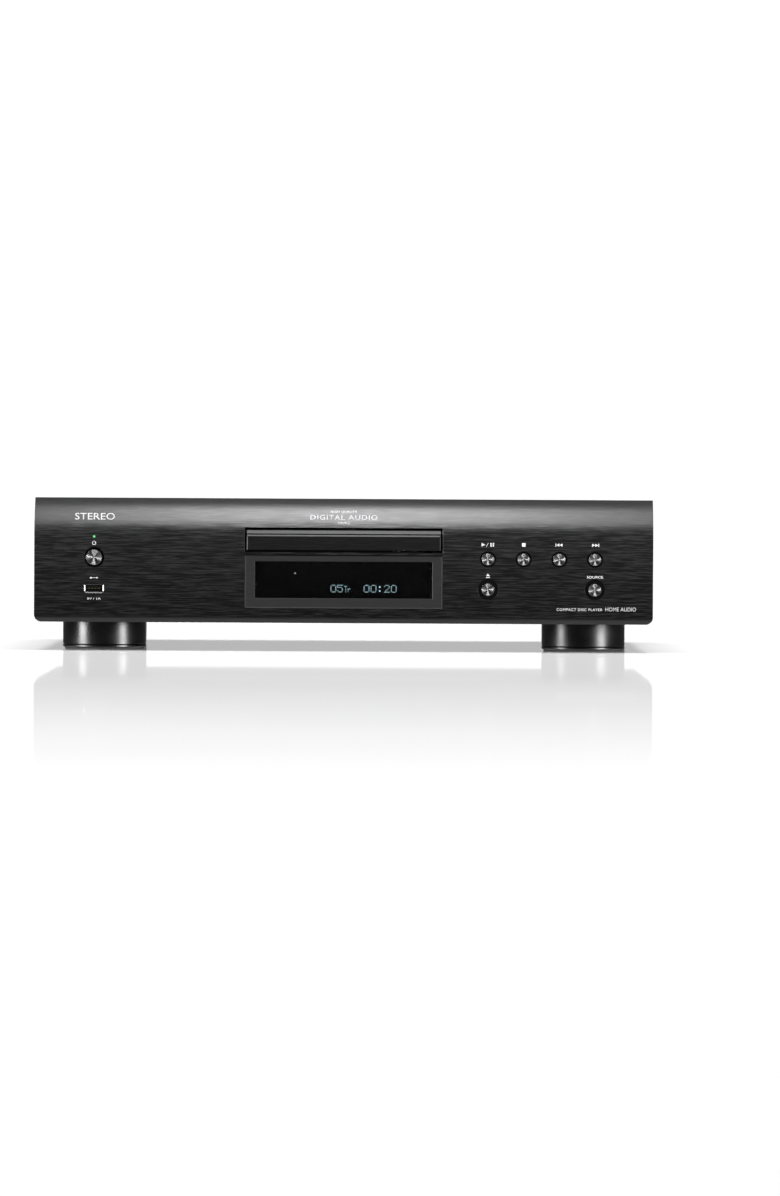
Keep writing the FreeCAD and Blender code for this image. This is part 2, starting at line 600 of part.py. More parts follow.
def loading_drive():
    """Motor, belt and gears that push the tray out: motor pulley, belt pulley with a 12-tooth gear, then the drive
    gear, whose 36 teeth mesh with that and whose 22-tooth pinion meshes with the tray's rack."""
    low = "deck_low + deck"
    motor_at = ("-20", "gear_y - 2")
    node("loading_motor", cut(joined(rod("z", "12", motor_at, ("deck_low - 14", "deck_low")),
                                     rod("z", "2.9", motor_at, ("deck_low", "deck_low + deck"))),
                              rod("z", "1.06", motor_at, ("deck_low - 8", "deck_low + deck + 1"))))
    pulley = new_body("pulley")
    turned(pulley, [("0", "-8"), ("1", "-8"), ("1", "0.5"), ("4.4", "0.5"), ("4.4", "1.1"), ("3.4", "1.6"),
                    ("3.4", "2.6"), ("4.4", "3.1"), ("4.4", "3.6"), ("0", "3.6")])
    node("motor_pulley", place(pulley, "-20", "gear_y - 2", low))

    belt_wheel = new_body("belt_wheel")
    turned(belt_wheel, [("1.56", "0.4"), ("14", "0.4"), ("14", "1.1"), ("13", "1.6"), ("13", "2.6"), ("14", "3.1"),
                        ("14", "3.6"), ("1.56", "3.6")])
    wheel(belt_wheel, 12, "0.8", "3.6", "4.4", "15")
    node("belt_pulley", place(belt_wheel, "gear_x - 19.2", "gear_y", low))

    drive = new_body("drive_wheel")
    turned(drive, [("1.56", "0.4"), ("4", "0.4"), ("4", "8.8"), ("1.56", "8.8")])
    wheel(drive, 36, "0.8", "4.2", "3.6")
    wheel(drive, 22, "1", "8.8", "3.4")
    node("drive_gear", place(drive, "gear_x", "gear_y", low))

    belt = new_body("belt")
    apart = math.hypot(D["gear_x"] - 19.2 + 20, 2)
    lean = math.degrees(math.atan2(2, D["gear_x"] - 19.2 + 20))
    swing = math.acos((13 - 3.4) / apart)
    for shift, kind in ((1.0, "Pad"), (0.15, "Pocket")):
        loop = sketch(belt, "XY_Plane", "1.6")
        belt_loop(loop, apart, 3.4 + shift, 13 + shift, swing)
        pad(belt, loop, "1", kind=kind, reverse=kind == "Pocket")
    place(belt, "-20", "gear_y - 2", low, Rotation(Vector(0, 0, 1), lean))
    node("drive_belt", belt)


def belt_loop(drawing, apart, small, large, swing):
    """Two arcs and the two straight runs tangent to both, about (0, 0) and (apart, 0)."""
    first = drawing.GeometryCount
    near, far = Vector(), Vector(apart, 0, 0)
    up = Vector(-math.cos(swing), math.sin(swing), 0)
    down = Vector(-math.cos(swing), -math.sin(swing), 0)
    around = math.pi - swing
    drawing.addGeometry(Part.ArcOfCircle(Part.Circle(near, Vector(0, 0, 1), small), around, 2 * math.pi - around))
    drawing.addGeometry(Part.LineSegment(near + down * small, far + down * large))
    drawing.addGeometry(Part.ArcOfCircle(Part.Circle(far, Vector(0, 0, 1), large), -around, around))
    drawing.addGeometry(Part.LineSegment(far + up * large, near + up * small))
    for k in range(4):
        drawing.addConstraint(Sketcher.Constraint("Coincident", first + k, 2, first + (k + 1) % 4, 1))
        drawing.addConstraint(Sketcher.Constraint("Block", first + k))


# ---------------------------------------------------------------- traverse with spindle and pickup
def traverse():
    """Everything that swings up to the disc. It is drawn level, as it plays, and then lowered."""
    z = ("hinge_z - 4", "hinge_z + 2")
    y = ("gear_y + 21", "hinge_y - 8")
    parts = [wide("50", y, z)]
    for near, far in (("41", "47"), ("-47", "-41")):
        parts.append(block((near, far), ("hinge_y - 9", "hinge_y + 3"), z))
    for near, far in (("44", "51.5"), ("-51.5", "-44")):
        parts.append(rod("x", "2", ("hinge_y", "hinge_z"), (near, far)))
    for x in ("15", "-15"):
        parts.append(rod("y", "1.5", (x, "hinge_z - 2"), ("gear_y + 15.4", "gear_y + 22")))
    hollow = wide("43", ("gear_y + 27", "hinge_y - 16"), ("hinge_z - 5", "hinge_z + 3"))
    notch = block(("42", "45.4"), ("disc_y + 32", "disc_y + 54"), ("hinge_z - 5", "hinge_z + 3"))
    corners = [(x, yy) for x in ("46.5", "-46.5") for yy in ("gear_y + 26", "hinge_y - 13")]
    pilots = [rod("z", "1.45", at, ("hinge_z - 5", "hinge_z + 3")) for at in corners]
    node("traverse_frame", lowered(cut(joined(*parts), hollow, notch, *pilots)))

    grommets = [cut(rod("z", "3.3", at, ("hinge_z + 2", "hinge_z + 4")),
                    rod("z", "1.6", at, ("hinge_z", "hinge_z + 5"))) for at in corners]
    node("damper_grommets", lowered(group(*grommets)))

    top = ("hinge_z + 4", "hinge_z + 5.2")
    plate = wide("49.5", ("gear_y + 22", "hinge_y - 9"), top)
    ends = [("disc_y + 9", "disc_y + 13.5"), ("disc_y + 71", "disc_y + 76")]
    lugs = [block(x, ends_y, ("hinge_z - 2.5", "hinge_z + 4"))
            for x in (("21", "27"), ("-27", "-21")) for ends_y in ends]
    shelf = block(("29", "42.5"), ("disc_y + 22.5", "disc_y + 39.5"), ("hinge_z - 6.4", "hinge_z - 5.9"))
    hanger = block(("36", "42.5"), ("disc_y + 22.5", "disc_y + 23.7"), ("hinge_z - 5.9", "hinge_z + 4"))
    stud = rod("z", "1", ("35.3", "disc_y + 43"), ("hinge_z - 4.6", "hinge_z + 4"))
    holes = [wide("17.6", ("disc_y + 14", "disc_y + 70.5"), ("hinge_z", "hinge_z + 6")),
             rod("z", "6.6", ("0", "disc_y"), ("hinge_z", "hinge_z + 6")),
             rod("z", "3.4", ("35.3", "disc_y + 31.6"), ("hinge_z - 7", "hinge_z - 5"))]
    holes += [rod("z", "1.6", at, ("hinge_z + 3", "hinge_z + 6")) for at in corners]
    holes += [rod("y", "1.53", (x, "hinge_z"), ("disc_y + 8", "disc_y + 77")) for x in ("24", "-24")]
    node("optical_base", lowered(cut(joined(plate, *lugs, shelf, hanger, stud), *holes)))

    node("guide_rods", lowered(group(*(rod("y", "1.5", (x, "hinge_z"), ("disc_y + 9.5", "disc_y + 75.5"))
                                       for x in ("24", "-24")))))
    motor = cut(rod("z", "12.6", ("0", "disc_y"), ("hinge_z - 8", "hinge_z + 4")),
                rod("z", "1.06", ("0", "disc_y"), ("hinge_z - 2", "hinge_z + 5")))
    node("spindle_motor", lowered(motor))

    table = new_body("table")
    turned(table, [("0", "hinge_z - 1.5"), ("1", "hinge_z - 1.5"), ("1", "hinge_z + 4.6"), ("6", "hinge_z + 4.6"),
                   ("6", "seat_z - 3"), ("15.5", "seat_z - 3"), ("15.5", "seat_z"), ("7.4", "seat_z"),
                   ("7.4", "seat_z + 1.6"), ("6", "seat_z + 3.2"), ("0", "seat_z + 3.2")])
    place(table, "0", "disc_y")
    doc.recompute()
    node("turntable", lowered(fixed(table)))

    at = ("35.3", "disc_y + 31.6")
    node("feed_motor", lowered(cut(rod("z", "7.4", at, ("hinge_z - 19", "hinge_z - 6.4")),
                                   rod("z", "1.06", at, ("hinge_z - 14", "hinge_z - 6")))))
    pinion = new_body("feed_wheel")
    turned(pinion, [("0", "-7"), ("1", "-7"), ("1", "0"), ("1.6", "0"), ("1.6", "2.6"), ("0", "2.6")])
    wheel(pinion, 10, "0.6", "0", "2.6")
    place(pinion, at[0], at[1], "hinge_z - 5.7")
    doc.recompute()
    node("feed_pinion", lowered(fixed(pinion)))

    gear = new_body("feed_pair")
    turned(gear, [("1.06", "0"), ("3", "0"), ("3", "6.5"), ("1.06", "6.5")])
    wheel(gear, 28, "0.6", "0", "2.4", "90")
    wheel(gear, 12, "0.8", "3.5", "3")
    place(gear, "35.3", "disc_y + 43", "hinge_z - 5.6")
    doc.recompute()
    node("feed_gear", lowered(fixed(gear)))
    pickup()


def fixed(body):
    """Lets go of a body's placement formulas, so that the swing of the traverse can be added."""
    for axis in "xyz":
        body.setExpression(f"Placement.Base.{axis}", None)
    return body


def pickup():
    """The laser pickup on its two guide rods, with a rack at its side and the lens on top."""
    y = ("disc_y + 15", "disc_y + 33")
    middle = wide("17", y, ("hinge_z - 2.7", "hinge_z + 8"))
    ears = wide("28", y, ("hinge_z - 2.7", "hinge_z + 2.7"))
    cover = rod("z", "7.5", ("0", "disc_y + 24"), ("hinge_z + 8", "hinge_z + 12"))
    holes = [rod("y", "1.56", (x, "hinge_z"), ("disc_y + 14", "disc_y + 34")) for x in ("24", "-24")]
    holes.append(rod("z", "4.2", ("0", "disc_y + 24"), ("hinge_z + 6", "hinge_z + 13")))
    teeth = new_body("pickup_rack")
    strip = sketch(teeth, "XY_Plane", "0")
    line = "30.5"
    box_outline(strip, ("27.5", f"{line} - 1"), ("-2", "36"))
    pad(teeth, strip, "3")
    cog = sketch(teeth, "XY_Plane", "0")
    step = "0.8 * pi"
    middle_y = f"36 - {step} / 2"
    outline(cog, [(f"{line} - 1.1", f"{middle_y} - 0.88"), (f"{line} + 0.72", f"{middle_y} - 0.28"),
                  (f"{line} + 0.72", f"{middle_y} + 0.28"), (f"{line} - 1.1", f"{middle_y} + 0.88")])
    tooth = pad(teeth, cog, "3")
    doc.recompute()
    row = teeth.newObject("PartDesign::LinearPattern", "PickupRack")
    row.Originals = [tooth]
    row.Direction = (cog, ["V_Axis"])
    row.Reversed = True
    row.Mode = "Spacing"
    bind(row, "Offset", step)
    row.Occurrences = 15
    teeth.Tip = row
    place(teeth, "0", "disc_y + 43 - 36", "hinge_z - 2")
    node("pickup_sled", lowered(cut(joined(middle, ears, cover, teeth), *holes)))
    lens = joined(rod("z", "3.9", ("0", "disc_y + 24"), ("hinge_z + 9", "hinge_z + 12.6")),
                  rod("z", "2.6", ("0", "disc_y + 24"), ("hinge_z + 12.6", "hinge_z + 13.4")))
    node("objective_lens", lowered(lens))


def cam_slider():
    """The plate that moves sideways in front of the traverse and lifts its two pins in slanted slots."""
    body = new_body("cam")
    front = sketch(body, "XZ_Plane", "-gear_y - 15.2")
    box_outline(front, ("-34", "25"), ("hinge_z - 16.6", "hinge_z + 2.2"))
    pad(body, front, "3", reverse=True)
    slots = sketch(body, "XZ_Plane", "-gear_y - 14")
    low, high = "hinge_z - 2 - 10.55", "hinge_z - 2"
    half = "1.75"
    for x in ("15", "-15"):
        outline(slots, [(f"{x} - 0.7", f"{low} - {half}"), (f"{x} + 4", f"{low} - {half}"),
                        (f"{x} + 4", f"{low} + {half}"), (f"{x} + 1.4", f"{low} + {half}"),
                        (f"{x} - 11.3", f"{high} + {half}"), (f"{x} - 16", f"{high} + {half}"),
                        (f"{x} - 16", f"{high} - {half}"), (f"{x} - 13.4", f"{high} - {half}")])
    pocket(body, slots, "6")
    node("cam_slider", body)


# ---------------------------------------------------------------- case
def chassis():
    """The folded steel pan, the rear panel and the folded cover."""
    low, skin = "floor_z", "floor_z + sheet_t"
    side = "cover_w / 2 - sheet_t - 0.1"
    length = ("case_front", "case_back - 2.2")
    parts = [wide(side, length, (low, skin)),
             wide(side + " - 4", ("case_front", "case_front + sheet_t"), (low, "face_low + 4")),
             wide(side + " - 4", ("face_y + 10", "case_front + sheet_t"), ("face_low + 3", "face_low + 4")),
             wide(side, ("case_back - 2.2", "case_back - 1.2"), (low, "floor_z + 12"))]
    for near, far in ((side + " - sheet_t", side), (f"-({side})", f"-({side}) + sheet_t")):
        parts.append(block((near, far), length, (low, "floor_z + 16")))
    holes = [rod("z", "1.55", at, ("floor_z - 1", "floor_z + 2")) for at in LOADER_POSTS]
    holes += [rod("z", "2.1", at, ("floor_z - 1", "floor_z + 2")) for at in FEET]
    for x in ("-150", "150"):
        for k in range(8):
            holes.append(block((f"{x} - 31 + {8 * k}", f"{x} - 28 + {8 * k}"), ("-60", "-18"), ("19", "22")))
    holes += [rod("x", "1.55", (y, "floor_z + 9"), (a, b)) for y in ("-100", "110")
              for a, b in (("205", "220"), ("-220", "-205"))]
    holes += [rod("y", "1.45", at, ("case_back - 3", "case_back")) for at in PANEL_SCREWS]
    node("chassis_base", cut(joined(*parts), *holes))

    plate = wide("cover_w / 2 - 2.2", ("case_back - 1.2", "case_back"), (skin, "cover_top - 1.4"))
    through = ("case_back - 3", "case_back + 1")
    ports = [rod("y", "5.2", (x, "jack_z"), through) for x in ("left_jack_x", "right_jack_x", "coax_x")]
    ports.append(block(("optical_x - 5.6", "optical_x + 5.6"), through, ("jack_z - 5.4", "jack_z + 5.4")))
    ports.append(block(("inlet_x - 10.2", "inlet_x + 10.2"), through, ("jack_z - 7.2", "jack_z + 7.2")))
    ports += [rod("y", "1.45", at, through) for at in REAR_SCREWS + PANEL_SCREWS]
    for k in range(9):
        ports.append(block((f"-60 + {9 * k}", f"-56.5 + {9 * k}"), through, ("30", "52")))
    node("rear_panel", cut(plate, *ports))

    outer = wide("cover_w / 2", ("case_front + 0.2", "case_back + sheet_t"), ("floor_z + 0.2", "cover_top"))
    shell = [wide("cover_w / 2 - sheet_t", ("case_front - 1", "case_back"), ("floor_z - 1", "cover_top - sheet_t")),
             wide("cover_w / 2 - 10", ("case_back - 1", "case_back + 2"), ("floor_z - 1", "cover_top - 12"))]
    shell += [rod("x", "1.6", (y, "floor_z + 9"), (a, b)) for y in ("-100", "110")
              for a, b in (("205", "220"), ("-220", "-205"))]
    shell += [rod("y", "1.6", at, ("case_back - 1", "case_back + 2")) for at in REAR_SCREWS]
    node("top_cover", cut(outer, *shell))


BOARD_POSTS = [(x, y) for x in ("-200", "-100") for y in ("-120", "20")]
BOARD_POSTS += [(x, y) for x in ("90", "200") for y in ("-55", "120")]
LOADER_POSTS = [(x, y) for x in ("66", "-66") for y in ("loader_front + 32", "loader_back - 8")]
FEET = [("foot_x", "front_foot_y"), ("-foot_x", "front_foot_y"), ("rear_foot_x", "rear_foot_y"),
        ("-rear_foot_x", "rear_foot_y")]
REAR_SCREWS = [("-150", "99"), ("0", "99"), ("150", "99"), ("-209.5", "60"), ("209.5", "60")]
PANEL_SCREWS = [("-190", "floor_z + 7"), ("-60", "floor_z + 7"), ("60", "floor_z + 7"), ("190", "floor_z + 7")]


def feet():
    """Four turned feet, each a deep cup with a groove near its lower edge, and a ring-shaped pad under it."""
    cups, pads = [], []
    for x, y in FEET:
        cup = new_body("foot")
        top, line = "face_low + 0.2", "pad_h + 2.2"
        turned(cup, [("2.2", top), ("foot_r", top), ("foot_r", f"{line} + 0.5"), ("foot_r - 0.5", line),
                     ("foot_r", f"{line} - 0.5"), ("foot_r", "pad_h + 0.7"), ("foot_r - 0.7", "pad_h"),
                     ("11", "pad_h"), ("11", "face_low - 4"), ("2.2", "face_low - 4")])
        cups.append(place(cup, x, y))
        disc, hole = rod("z", "foot_r - 1.5", (x, y), ("0", "pad_h")), rod("z", "13", (x, y), ("-1", "pad_h + 1"))
        pads.append(cut(disc, hole))
    node("foot_cups", group(*cups))
    node("foot_pads", group(*pads))


def screw(along, at, head, shank, radii, face):
    """A head and a shank, whose spans lie along the axis, and a crossed recess in the head at the height face."""
    solid = joined(rod(along, radii[0], at, head), rod(along, radii[1], at, shank))
    arms = []
    for longer in (0, 1):
        spans = {along: (f"{face} - 0.9", f"{face} + 0.9")}
        for k, axis in enumerate(CROSS[along]):
            reach = f"{radii[0]} * 0.55" if k == longer else "0.35"
            spans[axis] = (f"{at[k]} - {reach}", f"{at[k]} + {reach}")
        arms.append(block(*(spans[axis] for axis in "xyz")))
    return cut(solid, joined(*arms))


def screws():
    """The screws of the cover and rear panel; then, inside and underneath, the stand-offs and the screws of the feet,
    boards, loader and bridge."""
    outside = []
    for y in ("-100", "110"):
        at, rim = (y, "floor_z + 9"), "cover_w / 2"
        outside.append(screw("x", at, (rim, rim + " + 1.4"), (rim + " - 6", rim), ("3.4", "1.5"), rim + " + 1.4"))
        rim = "-cover_w / 2"
        outside.append(screw("x", at, (rim + " - 1.4", rim), (rim, rim + " + 6"), ("3.4", "1.5"), rim + " - 1.4"))
    for at, back in [(at, "case_back + sheet_t") for at in REAR_SCREWS] + [(at, "case_back") for at in PANEL_SCREWS]:
        outer = back + " + 1.6"
        outside.append(screw("y", at, (back, outer), ("case_back - 5", back), ("3.2", "1.4"), outer))
    node("case_screws", group(*outside))
    skin, top = "floor_z + sheet_t", "board_z + pcb"
    inside = [cut(rod("z", "3", at, (skin, "board_z")), rod("z", "1.25", at, ("floor_z", "board_z + 1")))
              for at in BOARD_POSTS]
    inside += [cut(rod("z", "5", at, (skin, skin + " + 8")), rod("z", "1.55", at, ("floor_z", skin + " + 9")))
               for at in LOADER_POSTS]
    for at in BOARD_POSTS:
        inside.append(screw("z", at, (top, top + " + 1.8"), ("board_z - 6", top), ("2.8", "1.2"), top + " + 1.8"))
    for x in ("70.5", "-70.5"):
        for y in ("disc_y - 19", "disc_y + 19"):
            inside.append(joined(rod("z", "2.1", (x, y), ("bridge_z + 1.5", "bridge_z + 3.2")),
                                 rod("z", "1.2", (x, y), ("bridge_z - 5", "bridge_z + 1.5"))))
    for at in LOADER_POSTS:
        inside.append(screw("z", at, ("floor_z - 1.1", "floor_z"), ("floor_z", skin + " + 20"), ("3", "1.4"),
                            "floor_z - 1.1"))
    for at in FEET:
        inside.append(screw("z", at, ("face_low - 6.2", "face_low - 4"), ("face_low - 4", "floor_z + 3.5"),
                            ("3.6", "2"), "face_low - 6.2"))
    node("hidden_screws", group(*inside))


# ---------------------------------------------------------------- electronics
def transformer():
    """The mains transformer: a laminated core in a strap with two feet, and its windings on a bobbin."""
    x, y = "-150", "78"
    core = block((f"{x} - 33", f"{x} + 33"), (f"{y} - 14", f"{y} + 14"), ("23", "78"))
    strap = joined(block((f"{x} - 34.2", f"{x} + 34.2"), (f"{y} - 11", f"{y} + 11"), ("78", "79.2")),
                   *(block(pair, (f"{y} - 11", f"{y} + 11"), ("21", "79.2"))
                     for pair in ((f"{x} + 33", f"{x} + 34.2"), (f"{x} - 34.2", f"{x} - 33"))),
                   *(block(pair, (f"{y} - 11", f"{y} + 11"), ("21", "22.2"))
                     for pair in ((f"{x} + 33", f"{x} + 46"), (f"{x} - 46", f"{x} - 33"))))
    windows = [block(pair, (f"{y} - 15", f"{y} + 15"), ("34", "67"))
               for pair in ((f"{x} - 22", f"{x} - 11"), (f"{x} + 11", f"{x} + 22"))]
    node("transformer_core", cut(joined(core, strap), *windows))
    coil = block((f"{x} - 21.6", f"{x} + 21.6"), (f"{y} - 26", f"{y} + 26"), ("34.4", "66.6"))
    limbs = block((f"{x} - 11", f"{x} + 11"), (f"{y} - 14.2", f"{y} + 14.2"), ("30", "70"))
    cheeks = [block(pair, (f"{y} - 14.2", f"{y} + 14.2"), ("30", "70"))
              for pair in ((f"{x} - 23", f"{x} - 21.8"), (f"{x} + 21.8", f"{x} + 23"))]
    node("transformer_windings", cut(coil, limbs, *cheeks))


def boards():
    """The power board and the main board, with what stands on them."""
    z = ("board_z", "board_z + pcb")
    top = "board_z + pcb"
    for name, x, y, posts in (("power_board", ("-206", "-94"), ("-126", "26"), BOARD_POSTS[:4]),
                              ("main_board", ("84", "206"), ("-61", "case_back - 4"), BOARD_POSTS[4:])):
        node(name, cut(block(x, y, z), *(rod("z", "1.3", at, ("20", "40")) for at in posts)))
    cans = [("11", "38", -130, -95), ("11", "38", -130, -65), ("6.5", "24", -108, -80), ("6.5", "24", -108, -62),
            ("8", "30", 120, 30), ("8", "30", 140, 30), ("5", "14", 160, 60), ("5", "14", 174, 60),
            ("5", "14", 160, 76), ("5", "14", 174, 76), ("4", "11", 104, 60), ("4", "11", 104, 74)]
    node("capacitors", group(*(rod("z", r, (str(x), str(y)), (top, f"{top} + {h}")) for r, h, x, y in cans)))
    fins = [block((f"-190 + {5 * k}", f"-188.4 + {5 * k}"), ("-112", "-78"), (top, f"{top} + 34")) for k in range(6)]
    node("heat_sink", joined(block(("-190", "-163.4"), ("-96.5", "-93.5"), (top, f"{top} + 34")), *fins))
    chips = [(110, -30, 14, 14), (145, -30, 20, 10), (175, -20, 9, 9), (130, 5, 12, 12), (165, 10, 10, 14),
             (120, 96, 8, 8), (-175, -20, 16, 9), (-130, -20, 9, 16)]
    node("chips", group(*(block((f"{x} - {w / 2}", f"{x} + {w / 2}"), (f"{y} - {d / 2}", f"{y} + {d / 2}"),
                                (top, f"{top} + 2.2")) for x, y, w, d in chips)))
    ribbon("ribbon_cable")


def ribbon(name):
    """The flat cable from the front board back to the main board."""
    under = [("board_y + pcb", "40"), ("-138", "40"), ("-120", "34"), ("-70", "33"), ("-55", "board_z + pcb + 4"),
             ("-48", "board_z + pcb + 4")]
    body = new_body("flat_cable")
    side = sketch(body, "YZ_Plane", "100")
    outline(side, under + [(y, f"{z} + 0.3") for y, z in reversed(under)])
    pad(body, side, "20")
    node(name, body)


def rear_sockets():
    """Output sockets, the optical output with its flap, and the mains inlet."""
    barrels, rings, neck = [], [], "barrel_r - 0.2"
    blocks = [block(("98", "122"), ("-54", "-47"), ("board_z + pcb", "board_z + pcb + 4")),
              block(("98", "122"), ("board_y + pcb", "board_y + pcb + 4"), ("34", "40"))]
    for x in ("left_jack_x", "right_jack_x", "coax_x"):
        at = (x, "jack_z")
        barrels.append(cut(joined(rod("y", "barrel_r", at, ("case_back + 2", "barrel_end")),
                                  rod("y", neck, at, ("case_back - 8", "case_back + 2")),
                                  rod("y", "5.1", at, ("case_back - 3", "case_back - 1.2"))),
                           rod("y", "3.3", at, ("case_back - 9", "barrel_end + 1"))))
        ring = cut(rod("y", "6.4", at, ("case_back", "case_back + 1.8")), rod("y", neck, at, ("150", "160")))
        core = cut(rod("y", "3.3", at, ("case_back - 8", "barrel_end - 1")), rod("y", "1.6", at, ("155", "165")))
        rings += [ring, core]
    for low, high in (("right_jack_x - 8", "left_jack_x + 8"), ("coax_x - 8", "coax_x + 8")):
        blocks.append(block((low, high), ("case_back - 20", "case_back - 3"), ("board_z + pcb", "jack_z + 8")))
    nests = [rod("y", neck, (x, "jack_z"), ("case_back - 8", "case_back"))
             for x in ("left_jack_x", "right_jack_x", "coax_x")]
    x, z = ("optical_x - 5.4", "optical_x + 5.4"), ("jack_z - 5.2", "jack_z + 5.2")
    blocks.append(block(x, ("case_back - 16", "case_back - 4"), ("board_z + pcb", z[0])))
    node("output_barrels", group(*barrels))
    node("output_insulators", group(*rings))
    node("board_sockets", cut(group(*blocks), *nests))

    body = joined(block(x, ("case_back - 16", "case_back"), z),
                  block(("optical_x - 7", "optical_x + 7"), ("case_back", "case_back + 1.6"),
                        ("jack_z - 7", "jack_z + 7")))
    hollow = block(("optical_x - 4.7", "optical_x + 4.7"), ("case_back - 12.6", "case_back + 2"),
                   ("jack_z - 4.4", "jack_z + 4.4"))
    node("optical_socket", cut(body, hollow))
    flap = block(("optical_x - 4.5", "optical_x + 4.5"), ("case_back - 4.1", "case_back - 3.3"),
                 ("jack_z - 4.2", "jack_z + 3.6"))
    roll = rod("x", "0.4", ("case_back - 3.7", "jack_z + 3.6"), ("optical_x - 4.5", "optical_x + 4.5"))
    node("optical_flap", joined(flap, roll))

    shell = joined(block(("inlet_x - 10", "inlet_x + 10"), ("case_back - 18", "case_back"),
                         ("jack_z - 7", "jack_z + 7")),
                   block(("inlet_x - 14", "inlet_x + 14"), ("case_back", "case_back + 2"),
                         ("jack_z - 10", "jack_z + 10")))
    deep = ("case_back - 11", "case_back + 3")
    cavity = [rod("y", "4.1", (f"inlet_x {s} 4.3", "jack_z"), deep) for s in "+-"]
    cavity.append(block(("inlet_x - 4.3", "inlet_x + 4.3"), deep, ("jack_z - 4.1", "jack_z + 4.1")))
    pins = [rod("y", "1.2", (f"inlet_x {s} 4.3", "jack_z"), ("case_back - 12", "case_back - 1")) for s in "+-"]
    node("mains_inlet", joined(cut(shell, joined(*cavity)), *pins))


def build():
    front_panel()
    front_frame()
    display()
    front_board()
    media_socket()
    for key in KEYS:
        push_button(key)
    tray()
    loader()
    loading_drive()
    traverse()
    cam_slider()
    chassis()
    feet()
    screws()
    transformer()
    boards()
    rear_sockets()


def write():
    """Checks every object and writes each piece to parts/."""
    doc.recompute()
    failed = [f"{thing.Label} ({thing.TypeId})" for thing in doc.Objects if {"Invalid", "Error"} & set(thing.State)]
    if failed:
        raise RuntimeError("not built: " + ", ".join(failed))
    os.makedirs("parts", exist_ok=True)
    for thing in nodes:
        shape = thing.Shape
        if shape.isNull() or not shape.isValid() or not shape.Solids:
            raise RuntimeError(f"{thing.Label} has no valid shape")
        shape.exportStep(f"parts/{thing.Label}.step")
        print(f"{thing.Label}: {len(shape.Solids)} solids, {shape.Volume:.1f} mm3")


build()
write()
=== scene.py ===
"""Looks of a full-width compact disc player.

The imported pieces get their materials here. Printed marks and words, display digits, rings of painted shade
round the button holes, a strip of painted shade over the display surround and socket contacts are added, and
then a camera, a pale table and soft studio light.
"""

import math

import bmesh
import bpy
from mathutils import Matrix, Vector


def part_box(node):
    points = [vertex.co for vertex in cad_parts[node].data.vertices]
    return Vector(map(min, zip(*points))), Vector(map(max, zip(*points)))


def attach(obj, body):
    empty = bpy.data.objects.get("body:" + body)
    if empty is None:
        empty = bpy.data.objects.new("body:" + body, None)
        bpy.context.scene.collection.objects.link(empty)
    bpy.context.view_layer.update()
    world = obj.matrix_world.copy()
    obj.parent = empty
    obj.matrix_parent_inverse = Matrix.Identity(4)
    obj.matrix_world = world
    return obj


MM = 0.001
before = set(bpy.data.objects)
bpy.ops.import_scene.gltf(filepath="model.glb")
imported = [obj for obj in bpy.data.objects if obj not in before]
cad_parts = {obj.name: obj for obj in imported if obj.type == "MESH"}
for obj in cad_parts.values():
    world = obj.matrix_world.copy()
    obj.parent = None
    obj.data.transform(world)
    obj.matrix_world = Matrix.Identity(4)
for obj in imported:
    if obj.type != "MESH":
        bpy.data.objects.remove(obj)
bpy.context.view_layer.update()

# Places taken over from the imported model, in millimetres.
FACE_Y = -162.8                  # flat front of the fascia
CURVE_Z, CURVE_R = 79.0, 36.0    # the fascia rolls back above this height, with this radius
REAR_Y = 152.0                   # outer face of the rear panel
LEFT_X = -175.0                  # power button, power lamp and media socket
LED_Z = 79.8                     # height of the power lamp
KEY_X, KEY_PITCH = 101.2, 25.0   # first of the columns of push buttons, and the distance between them
KEY_Z, KEY_HOLE = 65.2, 5.2      # height and radius of the holes for the small push buttons
BEZEL_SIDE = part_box("display_bezel")[1].x / MM   # half the width of the display surround
BEZEL_LOW, BEZEL_HIGH = (corner.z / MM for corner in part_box("display_bezel"))

# Heights on the tray door, in millimetres.
DOOR_FLAT_TOP = 80.6                  # where its slanted top starts
GROOVE_LOW, GROOVE_HIGH = 81.65, 82.45
DOOR_SHADE_ABOVE = 84.7                     # above this it is painted shade, as part of the gap over it

# Printed marks, in millimetres.
PRINT, SUNK = 0.03, 0.01         # how far they stand out of the surface, and how far they reach into it
POWER_MARK_Z, SOCKET_MARK_Z = 75.2, 50.8
KEY_MARK_Z, EJECT_MARK_Z = 75.4, 53.4
REAR_TOP_Z, REAR_LOW_Z = 64.2, 43.6   # the words over and under the rear sockets

NOISE = 0.3, 0.7                 # Blender's noise seldom leaves this span
SKY_BEHIND, SKY_BELOW, SKY_ABOVE, SKY_DIM = 1.05, 1.2, 0.6, 0.12   # what reflections see there, and all round
SKY_SEEN = 1.05                  # what the camera sees


def grey(tone):
    return (tone, tone, tone)


def tinted(colour, factor):
    return tuple(min(1.0, c * factor) for c in colour)


